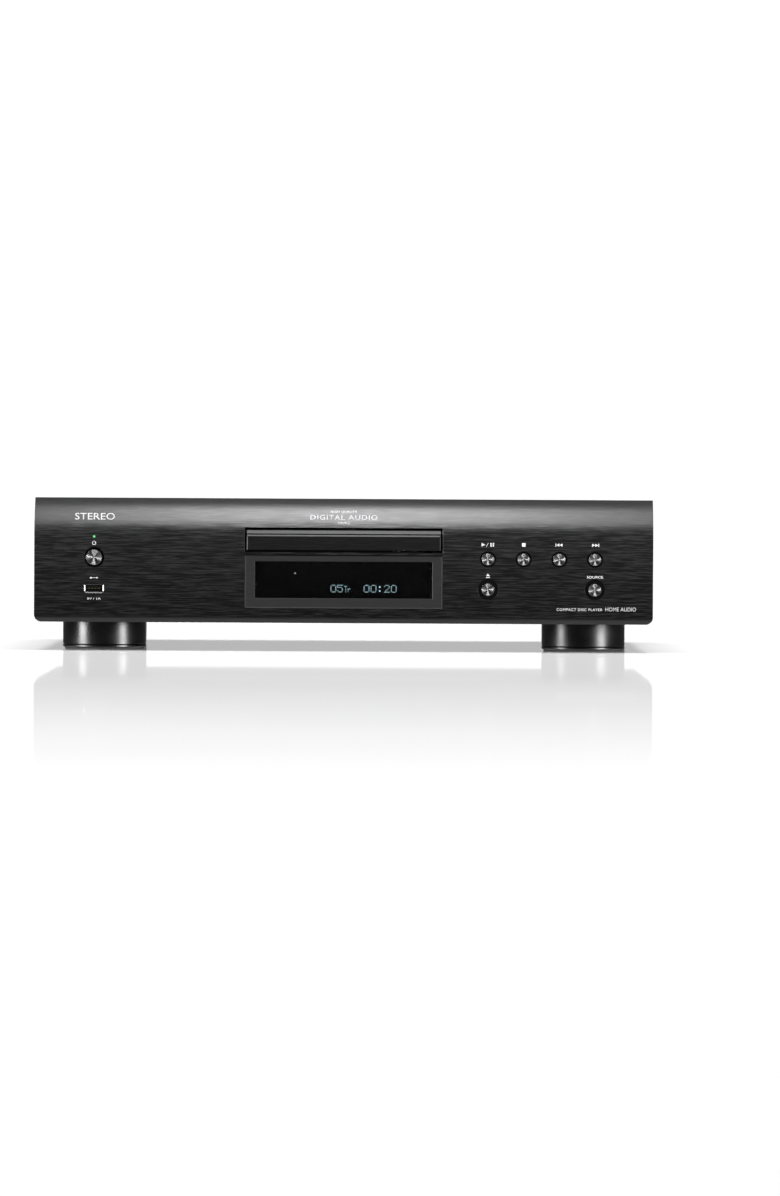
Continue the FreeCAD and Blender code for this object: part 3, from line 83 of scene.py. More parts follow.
# ---------------------------------------------------------------- materials
class Nodes:
    """Adds nodes to one node tree and links them."""

    def __init__(self, tree):
        self.tree = tree

    def feed(self, socket, value):
        """Gives an input a link, a colour, a vector or a number."""
        if isinstance(value, bpy.types.NodeSocket):
            self.tree.links.new(value, socket)
        elif socket.type == "RGBA":
            socket.default_value = (*value, 1.0)
        else:
            socket.default_value = value

    def node(self, kind, inputs=None, **settings):
        made = self.tree.nodes.new("ShaderNode" + kind)
        for key, value in settings.items():
            setattr(made, key, value)
        for key, value in (inputs or {}).items():
            self.feed(made.inputs[key], value)
        return made

    def place(self, scale=1.0):
        """Object coordinates in millimetres, scaled by one number or along each axis."""
        sizes = tuple(s / MM for s in (scale if isinstance(scale, tuple) else (scale,) * 3))
        where = self.node("TexCoord").outputs["Object"]
        return self.node("Mapping", {"Vector": where, "Scale": sizes}).outputs["Vector"]

    def noise(self, scale, detail=2.0, rough=0.5, where=None):
        """Noise whose grain is 1 / scale millimetres, at the object's own coordinates or at others."""
        if where is None:
            vector = self.place(scale)
        else:
            vector = self.node("Mapping", {"Vector": where, "Scale": scale}).outputs["Vector"]
        found = self.node("TexNoise", {"Vector": vector, "Scale": 1.0, "Detail": detail, "Roughness": rough})
        return found.outputs["Fac"]

    def spread(self, value, low, high, start=0.0, end=1.0):
        """Maps start..end of a value to low..high."""
        return self.node("MapRange", {"Value": value, "From Min": start, "From Max": end, "To Min": low,
                                      "To Max": high}).outputs["Result"]

    def colours(self, value, *stops):
        """A colour ramp with (position, colour) stops."""
        ramp = self.node("ValToRGB", {"Fac": value})
        elements = ramp.color_ramp.elements
        while len(elements) < len(stops):
            elements.new(0.5)
        for element, (position, colour) in zip(elements, stops):
            element.position = position
            element.color = (*colour, 1.0)
        return ramp.outputs["Color"]

    def mottled(self, value, colour, low, high):
        """A colour that a noise makes darker and lighter, between two factors."""
        return self.colours(value, (NOISE[0], tinted(colour, low)), (NOISE[1], tinted(colour, high)))

    def mix(self, factor, first, second):
        made = self.node("Mix", {0: factor, 6: first, 7: second}, data_type="RGBA")
        return made.outputs[2]

    def math(self, operation, first, second=0.0):
        return self.node("Math", {0: first, 1: second}, operation=operation).outputs["Value"]


class Shader(Nodes):
    """The nodes of one new material."""

    def __init__(self, name):
        self.material = bpy.data.materials.new(name)
        self.material.use_nodes = True
        super().__init__(self.material.node_tree)
        self.bsdf = next(n for n in self.tree.nodes if n.type == "BSDF_PRINCIPLED")

    def set(self, **values):
        """Sets sockets of the shader: numbers, colours or links. An underscore stands for a space."""
        for key, value in values.items():
            self.feed(self.bsdf.inputs[key.replace("_", " ")], value)

    def bump(self, height, strength, depth_mm):
        made = self.node("Bump", {"Height": height, "Strength": strength, "Distance": depth_mm * MM})
        self.set(Normal=made.outputs["Normal"])


def hairlines(shader, where):
    """A coarse and a fine grain of lines along X, some 5 to 20 mm long, that waver a little."""
    sway = shader.spread(shader.noise((0.07, 0.15, 0.15), detail=1.0), -0.3, 0.3)
    bend = shader.node("CombineXYZ", {"Z": sway}).outputs["Vector"]
    moved = shader.node("VectorMath", {0: where, 1: bend}, operation="ADD").outputs["Vector"]
    grains = []
    for grain, share in (((0.065, 1.35, 1.35), 0.65), ((0.12, 2.7, 2.7), 0.35)):
        grains.append(shader.math("MULTIPLY", shader.noise(grain, rough=0.55, where=moved), share))
    return shader.math("ADD", *grains)


def brushed(name, colour, rough, contrast, details, metallic=1.0):
    """Brushed metal, with plain ends. details(shader, axes, tone, colour) adds what one part has of its own."""
    shader = Shader(name)
    where = shader.place()
    axes = shader.node("SeparateXYZ", {"Vector": where}).outputs
    lines = hairlines(shader, where)
    tone = shader.colours(lines, (0.42, tinted(colour, 1 - contrast)), (0.50, colour),
                          (0.60, tinted(colour, 1 + 2.4 * contrast)))
    normal = shader.node("NewGeometry").outputs["Normal"]
    sideways = shader.math("ABSOLUTE", shader.node("SeparateXYZ", {"Vector": normal}).outputs["X"])
    tone = shader.mix(shader.spread(sideways, 0.0, 1.0, 0.5, 0.8), tone, colour)
    shader.set(Base_Color=details(shader, axes, tone, colour), Metallic=metallic,
               Roughness=shader.spread(lines, rough + 0.015, rough - 0.015, *NOISE))
    shader.bump(lines, 0.04, 0.02)
    return shader.material


def beyond(shader, value, limit, soft=0.25):
    """1 where the size of a coordinate is past a limit, in millimetres, else 0."""
    return shader.spread(shader.math("ABSOLUTE", value), 0.0, 1.0, limit - soft, limit + soft)


def fascia_details(shader, axes, tone, colour):
    """The lines fade out up the roll and on the bottom edge. The colour carries painted shade and painted
    light: darker towards the bottom, lighter up towards the roll.
    """
    for start, end in ((82.0, 91.0), (24.4, 23.2)):
        tone = shader.mix(shader.spread(axes["Z"], 0.0, 0.85, start, end), tone, colour)
    # painted shade low down and painted light high up, set by height
    painted_shade_by_height = shader.spread(axes["Z"], 0.74, 1.26, 24.0, 80.0)
    return shader.node("VectorMath", {0: tone, "Scale": painted_shade_by_height}, operation="SCALE").outputs["Vector"]


def door_details(shader, axes, tone, colour):
    """The door's slanted top is darker, with painted shade in the groove across it and above it where the gap
    over the door is, and a painted highlight on its two ends below that.
    """
    height = axes["Z"]
    slant = shader.spread(height, 0.0, 1.0, DOOR_FLAT_TOP - 0.2, DOOR_FLAT_TOP + 0.1)
    tone = shader.mix(slant, tone, tinted(colour, 0.84))
    # painted shade: the groove and the band above the door are made nearly black
    groove = shader.math("MULTIPLY", shader.math("GREATER_THAN", height, GROOVE_LOW),
                         shader.math("LESS_THAN", height, GROOVE_HIGH))
    painted_shade = shader.math("MAXIMUM", groove, shader.math("GREATER_THAN", height, DOOR_SHADE_ABOVE))
    tone = shader.mix(painted_shade, tone, tinted(colour, 0.1))
    # painted highlight: the door's two ends are made lighter below the slant
    flat = shader.spread(height, 1.0, 0.0, DOOR_FLAT_TOP - 0.3, DOOR_FLAT_TOP + 0.1)
    ends = shader.math("MULTIPLY", beyond(shader, axes["X"], 67.2), flat)
    return shader.mix(shader.math("MULTIPLY", ends, 0.5), tone, tinted(colour, 3.2))


def surround_details(shader, axes, tone, colour):
    """A painted highlight on the thin rim of the display surround, at its ends and along its bottom."""
    low = shader.spread(axes["Z"], 1.0, 0.0, BEZEL_LOW + 0.5, BEZEL_LOW + 0.8)
    rim = shader.math("MAXIMUM", beyond(shader, axes["X"], BEZEL_SIDE - 0.7), low)
    # painted highlight: the rim is made lighter in colour
    return shader.mix(shader.math("MULTIPLY", rim, 0.75), tone, tinted(colour, 8.0))


def spun(name, colour, rough):
    """Metal turned on a lathe: fine rings about the piece's own axis, and painted highlight fans, brightest to
    left and right, with painted shade above and below.
    """
    shader = Shader(name)
    tangent = shader.node("Tangent", direction_type="RADIAL", axis="Y").outputs["Tangent"]
    middle = shader.node("Mapping", {"Vector": shader.node("TexCoord").outputs["Generated"],
                                     "Location": (-0.5, -0.5, -0.5)}).outputs["Vector"]
    rings = shader.node("TexWave", {"Vector": middle, "Scale": 9.0, "Distortion": 0.6, "Detail": 1.0},
                        wave_type="RINGS", rings_direction="Y").outputs["Fac"]
    axes = shader.node("SeparateXYZ", {"Vector": middle}).outputs
    # painted highlight and shade: the colour is set by how far a point lies to the side of the axis
    across, up = (shader.math("MULTIPLY", axes[k], axes[k]) for k in ("X", "Z"))
    not_zero = shader.math("ADD", shader.math("ADD", across, up), 0.0001)
    level = shader.math("DIVIDE", across, not_zero)
    painted_fan_highlight = shader.colours(level, (0.0, grey(0.26)), (0.25, grey(0.26)), (0.75, grey(0.45)), (0.97, grey(1.0)))
    tone = shader.colours(rings, (0.0, tinted(colour, 0.8)), (1.0, tinted(colour, 1.15)))
    tone_with_painted_fans = shader.node("VectorMath", {0: tone, 1: painted_fan_highlight}, operation="MULTIPLY").outputs["Vector"]
    shader.set(Base_Color=tone_with_painted_fans, Metallic=1.0, Roughness=rough, Anisotropic=1.0, Tangent=tangent)
    return shader.material


def paint(name, colour, rough):
    """Baked paint with a fine leathery grain."""
    shader = Shader(name)
    fine = shader.noise(1.3, detail=3.0, rough=0.6)
    wide = shader.noise(0.012)
    shader.set(Base_Color=shader.mottled(wide, colour, 0.85, 1.15),
               Roughness=shader.spread(fine, rough - 0.08, rough + 0.1, *NOISE))
    shader.bump(fine, 0.5, 0.03)
    return shader.material


def plastic(name, colour, rough=0.4, grain=2.2, depth=0.012, gloss=0.5, painted_glow=0.0):
    """Moulded plastic with a spark-eroded grain and slight flow marks. Printed marks give off a little painted
    light.
    """
    shader = Shader(name)
    fine = shader.noise(grain)
    flow = shader.noise((0.02, 0.05, 0.05), detail=3.0)
    tone = shader.mottled(flow, colour, 0.88, 1.1)
    shader.set(Base_Color=tone, Roughness=shader.spread(flow, rough - 0.05, rough + 0.06, *NOISE),
               Specular_IOR_Level=gloss, Emission_Color=tone, Emission_Strength=painted_glow)
    shader.bump(fine, 0.4, depth)
    return shader.material


def plated(name, colour, rough, dull=0.15):
    """Plated sheet or turned metal with rolling marks and a little bloom."""
    shader = Shader(name)
    rolled = shader.noise((0.03, 0.5, 0.5), detail=4.0)
    bloom = shader.noise(0.05, detail=3.0)
    shader.set(Base_Color=shader.mottled(bloom, colour, 1 - dull, 1 + dull / 2), Metallic=1.0,
               Roughness=shader.spread(rolled, rough - 0.07, rough + 0.1, *NOISE))
    shader.bump(rolled, 0.12, 0.02)
    return shader.material


def laminate(name):
    """Circuit board: green lacquer over copper tracks, with drilled pads."""
    shader = Shader(name)
    tracks = shader.node("TexBrick", {"Vector": shader.place(0.16), "Scale": 1.0, "Mortar Size": 0.05,
                                      "Color1": grey(1), "Color2": grey(1), "Mortar": grey(0)}).outputs["Fac"]
    lacquer = shader.mix(tracks, (0.012, 0.075, 0.035), (0.03, 0.17, 0.075))
    dots = shader.node("TexVoronoi", {"Vector": shader.place(0.22), "Scale": 1.0}).outputs["Distance"]
    pads = shader.math("LESS_THAN", dots, 0.17)
    shader.set(Base_Color=shader.mix(pads, lacquer, (0.55, 0.5, 0.38)), Roughness=0.35, Coat_Weight=0.4,
               Metallic=shader.math("MULTIPLY", pads, 0.8))
    shader.bump(tracks, 0.3, 0.04)
    return shader.material


def smoked(name, colour, alpha, rough, gloss=0.5):
    """Tinted clear plastic."""
    shader = Shader(name)
    haze = shader.noise(0.05)
    shader.set(Base_Color=shader.mottled(haze, colour, 0.9, 1.1), Alpha=alpha, IOR=1.49,
               Roughness=shader.spread(haze, rough, rough + 0.03), Specular_IOR_Level=gloss)
    return shader.material


def glowing(name, colour, strength):
    """A lit surface, slightly uneven as a phosphor is."""
    shader = Shader(name)
    tone = shader.mottled(shader.noise(1.5, detail=1.0), colour, 0.75, 1.0)
    shader.set(Base_Color=tone, Emission_Color=tone, Emission_Strength=strength, Roughness=0.4)
    return shader.material


def lamp(name, colour, strength):
    """A light guide seen end on: brightest in the middle, dark green at its rim."""
    shader = Shader(name)
    middle = shader.node("Mapping", {"Vector": shader.node("TexCoord").outputs["Object"],
                                     "Location": (-LEFT_X * MM, 0.0, -LED_Z * MM)}).outputs["Vector"]
    axes = shader.node("SeparateXYZ", {"Vector": middle}).outputs
    flat = shader.node("CombineXYZ", {"X": axes["X"], "Z": axes["Z"]}).outputs["Vector"]
    away = shader.node("VectorMath", {0: flat}, operation="LENGTH").outputs["Value"]
    core = shader.spread(away, 1.0, 0.0, 0.35 * MM, 1.15 * MM)
    tone = shader.colours(core, (0.0, tinted(colour, 0.12)), (0.55, colour), (1.0, (0.55, 0.95, 0.62)))
    shader.set(Base_Color=tinted(colour, 0.05), Emission_Color=tone, Emission_Strength=strength,
               Roughness=shader.spread(shader.noise(1.2, detail=1.0), 0.25, 0.4))
    return shader.material


def layered(name, dark, light, scale, layers, uneven, axis, metallic, rough, strength, depth_mm):
    """Thin layers one over the other along an axis, such as turns of wire or a stack of sheets."""
    shader = Shader(name)
    bands = shader.node("TexWave", {"Vector": shader.place(scale), "Scale": layers, "Distortion": uneven},
                        bands_direction=axis).outputs["Fac"]
    shader.set(Base_Color=shader.colours(bands, (0.1, dark), (0.9, light)), Metallic=metallic, Roughness=rough)
    shader.bump(bands, strength, depth_mm)
    return shader.material


FASCIA = brushed("brushed_black_aluminium", (0.046, 0.046, 0.0465), 0.31, 0.46, fascia_details)
DOOR = brushed("brushed_black_door", (0.033, 0.033, 0.0335), 0.33, 0.12, door_details)
BEZEL = brushed("surround_satin_grey", (0.018, 0.018, 0.0185), 0.42, 0.10, surround_details, metallic=0.3)
SPUN = spun("spun_dark_metal", (0.40, 0.40, 0.407), 0.40)
COVER = paint("textured_black_paint", (0.018, 0.018, 0.019), 0.52)
REAR = paint("rear_black_paint", (0.022, 0.022, 0.023), 0.55)
# near-black plastic for the front frame, also used for the rings and strip of painted shade
BLACK_AND_PAINTED_SHADE = plastic("light_tight_black_and_painted_shade", grey(0.0015), rough=0.7, gloss=0.04)
FRAME_PLASTIC = plastic("black_moulded_plastic", grey(0.006), rough=0.6, gloss=0.12)
TRAY_PLASTIC = plastic("tray_plastic", (0.020, 0.020, 0.021), rough=0.42)
WINDOW = smoked("smoked_window", (0.004, 0.004, 0.0045), 0.45, 0.04, gloss=0.2)
PANEL = plastic("display_glass_dark", (0.020, 0.0205, 0.0205), rough=0.3, gloss=0.1)
LAMP = lamp("power_lamp_green", (0.03, 0.42, 0.10), 1.0)
DIGITS = glowing("display_cyan", (0.50, 0.76, 0.84), 6.0)
DOT = glowing("display_dot_white", (0.75, 0.78, 0.78), 2.2)
STEEL = plated("zinc_plated_steel", (0.56, 0.56, 0.57), 0.34)
BRIGHT = plated("bright_nickel", (0.66, 0.66, 0.67), 0.2)
SHELL = plated("socket_nickel", grey(0.10), 0.38)
DARK_SCREW = plated("black_zinc", (0.05, 0.05, 0.052), 0.3)
GOLD = plated("gold_plate", (0.86, 0.60, 0.24), 0.18, dull=0.08)
ALLOY = plated("extruded_aluminium", (0.72, 0.72, 0.73), 0.36)
BOARD = laminate("circuit_board")
SWITCH = plastic("switch_plastic", grey(0.008), gloss=0.15)
WHITE = plastic("white_plastic", (0.70, 0.70, 0.67))
GREY = plastic("grey_plastic", (0.16, 0.165, 0.17))
ACETAL = plastic("acetal", (0.80, 0.79, 0.72), rough=0.3)
INSULATOR = plastic("socket_insulator", (0.62, 0.62, 0.58), rough=0.3)
FOOT = plastic("foot_satin_black", (0.006, 0.006, 0.0062), rough=0.30, grain=0.8, depth=0.004, gloss=0.28)
RUBBER = plastic("black_rubber", grey(0.012), rough=0.75, grain=1.4, depth=0.05)
SLEEVE = plastic("capacitor_sleeve", (0.02, 0.025, 0.06), rough=0.25)
CHIP = plastic("chip_black", grey(0.02))
LENS = smoked("coated_lens", (0.55, 0.72, 0.85), 0.5, 0.03)
# print that gives off a little painted light
PRINT_PAINTED_GLOW = plastic("printed_white_painted_glow", grey(0.82), rough=0.5, painted_glow=0.32)
FINE_PRINT_PAINTED_GLOW = plastic("printed_white_fine_painted_glow", grey(0.82), rough=0.5, painted_glow=0.55)
WINDING = layered("tape_and_copper", (0.30, 0.16, 0.03), (0.62, 0.40, 0.08), (0.05, 0.05, 1.0), 0.45, 0.4, "Z",
                  metallic=0.0, rough=0.45, strength=0.6, depth_mm=0.15)
CORE = layered("core_laminations", (0.05, 0.05, 0.055), (0.20, 0.20, 0.21), 1.0, 0.32, 0.3, "Y",
               metallic=0.8, rough=0.5, strength=0.5, depth_mm=0.1)

FINISH = {
    FASCIA: ["front_panel"],
    DOOR: ["tray_door"],
    BEZEL: ["display_bezel"],
    WINDOW: ["display_window"],
    PANEL: ["display_panel"],
    LAMP: ["led_light_pipe"],
    COVER: ["top_cover"],
    REAR: ["rear_panel", "chassis_base"],
    SPUN: ["power_button", "play_button", "stop_button", "previous_button", "next_button", "eject_button",
           "source_button"],
    BLACK_AND_PAINTED_SHADE: ["front_frame"],
    FRAME_PLASTIC: ["loader_frame", "traverse_frame", "turntable", "board_sockets", "optical_socket",
                    "optical_flap", "mains_inlet"],
    TRAY_PLASTIC: ["disc_tray"],
    GREY: ["clamp_puck", "pickup_sled"],
    WHITE: ["cam_slider", "ribbon_cable"],
    STEEL: ["clamp_bridge", "loading_motor", "optical_base", "spindle_motor", "feed_motor", "hidden_screws"],
    BRIGHT: ["guide_rods"],
    SHELL: ["usb_shell"],
    DARK_SCREW: ["case_screws"],
    GOLD: ["output_barrels"],
    ALLOY: ["heat_sink"],
    BOARD: ["front_board", "power_board", "main_board"],
    SWITCH: ["tact_switches", "usb_tongue"],
    ACETAL: ["motor_pulley", "belt_pulley", "drive_gear", "feed_pinion", "feed_gear"],
    RUBBER: ["drive_belt", "damper_grommets", "foot_pads"],
    FOOT: ["foot_cups"],
    SLEEVE: ["capacitors"],
    CHIP: ["chips"],
    INSULATOR: ["output_insulators"],
    LENS: ["objective_lens"],
    WINDING: ["transformer_windings"],
    CORE: ["transformer_core"],
}


def finish_frame():
    """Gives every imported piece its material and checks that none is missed."""
    done = set()
    for material, names in FINISH.items():
        for name in names:
            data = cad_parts[name].data
            data.materials.clear()
            data.materials.append(material)
            done.add(name)
    missed = set(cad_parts) - done
    if missed:
        raise RuntimeError(f"no material for {sorted(missed)}")


# ---------------------------------------------------------------- small pieces
def add_piece(name, shape, material):
    """A bmesh drawn in millimetres becomes a piece that rides on the case."""
    bmesh.ops.recalc_face_normals(shape, faces=shape.faces)
    mesh = bpy.data.meshes.new(name)
    shape.to_mesh(mesh)
    shape.free()
    mesh.transform(Matrix.Scale(MM, 4))
    mesh.materials.append(material)
    piece = bpy.data.objects.new(name, mesh)
    bpy.context.scene.collection.objects.link(piece)
    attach(piece, "case")


def frame_y(node):
    """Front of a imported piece, in millimetres."""
    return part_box(node)[0].y / MM


def fascia_y(z):
    """How far back the fascia's front is at a height."""
    if z <= CURVE_Z:
        return FACE_Y
    return FACE_Y + CURVE_R - math.sqrt(CURVE_R ** 2 - (z - CURVE_Z) ** 2)


def prism(shape, outline, y=None):
    """Adds a plate to a bmesh from an outline of (x, z) points, lying on the fascia or with its back at y."""
    front = [shape.verts.new((px, (fascia_y(pz) if y is None else y) - PRINT, pz)) for px, pz in outline]
    back = [shape.verts.new((v.co.x, v.co.y + PRINT + SUNK, v.co.z)) for v in front]
    shape.faces.new(front)
    shape.faces.new(list(reversed(back)))
    for k in range(len(front)):
        n = (k + 1) % len(front)
        shape.faces.new((front[k], back[k], back[n], front[n]))


def bar(shape, x, z, width, height, y=None):
    w, h = width / 2, height / 2
    prism(shape, [(x - w, z - h), (x + w, z - h), (x + w, z + h), (x - w, z + h)], y)


def arrow(shape, x, z, width, height, towards=1):
    """A triangle that points right, or left with towards=-1."""
    tip, base = x + towards * width / 2, x - towards * width / 2
    prism(shape, [(base, z - height / 2), (tip, z), (base, z + height / 2)])


def arc_band(shape, x, z, inner, outer, start, end, steps=28, y=None):
    """Part of a ring, made of short plates, between two angles in degrees."""
    for k in range(steps):
        a, b = (math.radians(start + (end - start) * j / steps) for j in (k, k + 1))
        prism(shape, [(x + r * math.cos(t), z + r * math.sin(t))
                      for r, t in ((inner, a), (outer, a), (outer, b), (inner, b))], y)


def dot(shape, x, z, radius, steps, y=None):
    """A round dot: a ring with next to no hole."""
    arc_band(shape, x, z, 0.0001, radius, 0, 360, steps, y)


def power_mark(shape):
    arc_band(shape, LEFT_X, POWER_MARK_Z, 0.95, 1.35, 125, 415)
    bar(shape, LEFT_X, POWER_MARK_Z + 1.3, 0.3, 1.1)


def socket_mark(shape):
    """A dot, a stem and an arrow head, over the media socket."""
    dot(shape, LEFT_X - 2.2, SOCKET_MARK_Z, 0.6, 16)
    bar(shape, LEFT_X, SOCKET_MARK_Z, 4.0, 0.3)
    arrow(shape, LEFT_X + 2.4, SOCKET_MARK_Z, 1.3, 1.3)


def play_mark(shape):
    """An arrow, a stroke and two bars."""
    x, z, tall = KEY_X, KEY_MARK_Z, 2.6
    arrow(shape, x - 3.3, z, 2.6, tall)
    prism(shape, [(x - 1.4, z - 1.4), (x - 1.1, z - 1.4), (x + 0.3, z + 1.4), (x, z + 1.4)])
    for dx in (2.0, 3.6):
        bar(shape, x + dx, z, 0.8, tall)


def skip_mark(shape, x, side):
    """A bar and two arrows, to the left with side -1 or to the right with side 1."""
    tall = 2.2
    bar(shape, x + side * 2.5, KEY_MARK_Z, 0.5, tall)
    for dx in (1.1, -1.1):
        arrow(shape, x + side * dx, KEY_MARK_Z, 2.0, tall, side)


def eject_mark(shape):
    x, z, half = KEY_X, EJECT_MARK_Z, 1.4
    prism(shape, [(x - half, z), (x + half, z), (x, z + 1.6)])
    bar(shape, x, z - 1.0, 2 * half, 0.45)


def marks():
    """The symbols of the push buttons and the media socket, as one piece."""
    shape = bmesh.new()
    power_mark(shape)
    socket_mark(shape)
    play_mark(shape)
    bar(shape, KEY_X + KEY_PITCH, KEY_MARK_Z, 2.5, 2.5)
    skip_mark(shape, KEY_X + 2 * KEY_PITCH, -1)
    skip_mark(shape, KEY_X + 3 * KEY_PITCH, 1)
    eject_mark(shape)
    add_piece("symbols", shape, FINE_PRINT_PAINTED_GLOW)


# 5 x 7 dots, one row of five bits per number, from the top.
DOTS = {
    "0": (14, 17, 17, 17, 17, 17, 14), "5": (31, 16, 30, 1, 1, 17, 14), "2": (14, 17, 1, 2, 4, 8, 31),
    "T": (0, 31, 4, 4, 4, 4, 4), "r": (0, 0, 0, 22, 25, 16, 16),
}


def display_digits():
    """The lit track number and time, as squares of light in front of the display panel, and a small dot."""
    panel_y = frame_y("display_panel")
    top, row_pitch = 46.4, 0.79              # height of the top row of squares, and the distance between rows
    square_share, square_tall = 0.46, 0.38   # a square's width as a share of the column pitch, and its height
    colon_x, colon_size = 25.4, 0.85
    # Each character, its first column's x and the pitch of its columns.
    characters = [("0", -8.9, 0.86), ("5", -4.1, 0.80), ("T", 0.6, 0.44), ("r", 3.1, 0.36), ("0", 14.4, 0.86),
                  ("0", 19.3, 0.86), ("2", 28.8, 0.80), ("0", 33.5, 0.84)]
    shape = bmesh.new()
    for letter, x, pitch in characters:
        wide = pitch * square_share
        for row, bits in enumerate(DOTS[letter]):
            for column in range(5):
                if bits >> (4 - column) & 1:
                    bar(shape, x + column * pitch, top - row * row_pitch, wide, square_tall, panel_y)
    for row in (1.5, 5.0):
        bar(shape, colon_x, top - row * row_pitch, colon_size, colon_size, panel_y)
    add_piece("display_digits", shape, DIGITS)
    shape = bmesh.new()
    dot(shape, -34.1, 54.6, 0.62, 20, panel_y)
    add_piece("display_dot", shape, DOT)


def button_gap_shade():
    """Dark rings of painted shade at the edges of the four round holes that the small push buttons stand in,
    widening the shaded gap round each button.
    """
    shape = bmesh.new()
    for k in range(4):
        arc_band(shape, KEY_X + k * KEY_PITCH, KEY_Z, KEY_HOLE, KEY_HOLE + 0.45, 0, 360, 48)
    add_piece("button_gap_shade", shape, BLACK_AND_PAINTED_SHADE)


def surround_gap_shade():
    """A dark strip of painted shade that shows as a thin line above the display surround."""
    shape = bmesh.new()
    bar(shape, 0.0, BEZEL_HIGH + 0.35, 2 * BEZEL_SIDE, 0.6)
    add_piece("surround_gap_shade", shape, BLACK_AND_PAINTED_SHADE)


def socket_contacts():
    """Four gold fingers along the lower edge of the media socket's tongue."""
    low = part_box("usb_tongue")[0] / MM
    first, pitch = LEFT_X - 3.5, 2.33
    shape = bmesh.new()
    for k in range(4):
        bar(shape, first + k * pitch, low.z + 0.25, 1.1, 0.35, low.y)
    add_piece("socket_contacts", shape, GOLD)


def lettering(name, text, size, middle, material=PRINT_PAINTED_GLOW, spacing=1.0, grow=0.0, rear=False):
    """Printed capitals of a width and height in millimetres, laid on the fascia or on the rear panel.

    The middle is an x and a height. The strokes get bolder by grow, or thinner if it is negative. The letters
    are cut into low slices, so that they can follow the roll of the fascia.
    """
    width, height = size
    x, z = middle
    slice_height = 0.5
    curve = bpy.data.curves.new(name, "FONT")
    curve.body = text
    curve.resolution_u = 3
    curve.space_character = spacing
    curve.offset = grow
    maker = bpy.data.objects.new(name + "_maker", curve)
    bpy.context.scene.collection.objects.link(maker)
    bpy.context.view_layer.update()
    flat = bpy.data.meshes.new_from_object(maker.evaluated_get(bpy.context.evaluated_depsgraph_get()))
    bpy.data.objects.remove(maker)
    lows = [min(v.co[k] for v in flat.vertices) for k in (0, 1)]
    highs = [max(v.co[k] for v in flat.vertices) for k in (0, 1)]
    shape = bmesh.new()
    shape.from_mesh(flat)
    bmesh.ops.remove_doubles(shape, verts=shape.verts, dist=1e-5)
    for v in shape.verts:
        across = (v.co.x - (lows[0] + highs[0]) / 2) / (highs[0] - lows[0]) * width
        up = (v.co.y - (lows[1] + highs[1]) / 2) / (highs[1] - lows[1]) * height
        v.co = Vector((x - across if rear else x + across, 0.0, z + up))
    for k in range(1, math.ceil(height / slice_height)):
        bmesh.ops.bisect_plane(shape, geom=shape.verts[:] + shape.edges[:] + shape.faces[:],
                               plane_co=(0.0, 0.0, z - height / 2 + slice_height * k), plane_no=(0.0, 0.0, 1.0))
    for v in shape.verts:
        v.co.y = REAR_Y + PRINT if rear else fascia_y(v.co.z) - PRINT
    add_piece(name, shape, material)


def front_words():
    """Generic words, each with its width and height and its middle."""
    lettering("word_left", "STEREO", (28.0, 4.6), (-174.6, 93.9))
    lettering("word_above", "HIGH QUALITY", (18.5, 1.8), (0.0, 97.8), spacing=1.15, grow=0.016)
    lettering("word_middle", "DIGITAL AUDIO", (47.0, 3.4), (0.0, 94.0), spacing=1.15)
    lettering("word_below", "SOUND", (8.5, 1.7), (0.0, 90.1), spacing=1.15, grow=0.016)
    lettering("word_low", "COMPACT DISC PLAYER", (32.0, 1.9), (165.5, 30.2), FINE_PRINT_PAINTED_GLOW, spacing=1.15)
    lettering("word_low_end", "HOME AUDIO", (21.4, 2.7), (194.4, 30.5), FINE_PRINT_PAINTED_GLOW, grow=-0.012)
    lettering("word_source", "SOURCE", (11.3, 1.7), (176.2, 53.0), FINE_PRINT_PAINTED_GLOW, grow=0.012)
    lettering("word_socket", "5V / 1A", (9.6, 1.5), (LEFT_X, 36.2), FINE_PRINT_PAINTED_GLOW, grow=0.012)


def rear_words():
    """What each rear socket is for. The heights of all the letters are the same."""
    tall = 2.1
    for name, text, wide, x, z in (("rear_left", "L", 1.5, 168.0, REAR_TOP_Z),
                                   ("rear_right", "R", 1.7, 150.0, REAR_TOP_Z),
                                   ("rear_coaxial", "COAXIAL", 11.0, 118.0, REAR_TOP_Z),
                                   ("rear_optical", "OPTICAL", 11.0, 94.0, REAR_TOP_Z),
                                   ("rear_audio", "AUDIO OUT", 15.0, 159.0, REAR_LOW_Z),
                                   ("rear_digital", "DIGITAL OUT", 17.0, 106.0, REAR_LOW_Z),
                                   ("rear_mains", "AC IN", 8.0, -168.0, REAR_TOP_Z + 3.0)):
        lettering(name, text, (wide, tall), (x, z), grow=0.006, rear=True)


# ---------------------------------------------------------------- camera, floor and light, in metres
def camera():
    """A long lens in front of the fascia, a little above the table, nearly level and rolled very slightly."""
    distance, height = 4.7, 0.120
    centre_x, centre_z, view_height = 0.0326, 0.0377, 0.8384   # middle and height of the view at the fascia
    film, roll = 36.0, math.radians(0.307)
    data = bpy.data.cameras.new("camera")
    data.sensor_width = film
    data.lens = film * distance / view_height
    data.clip_end = 100.0
    holder = bpy.data.objects.new("camera", data)
    bpy.context.scene.collection.objects.link(holder)
    down = math.atan((height - centre_z) / distance)
    holder.matrix_world = (Matrix.Translation((centre_x, FACE_Y * MM - distance, height))
                           @ Matrix.Rotation(math.radians(90) - down, 4, "X") @ Matrix.Rotation(roll, 4, "Z"))
    bpy.context.scene.camera = holder


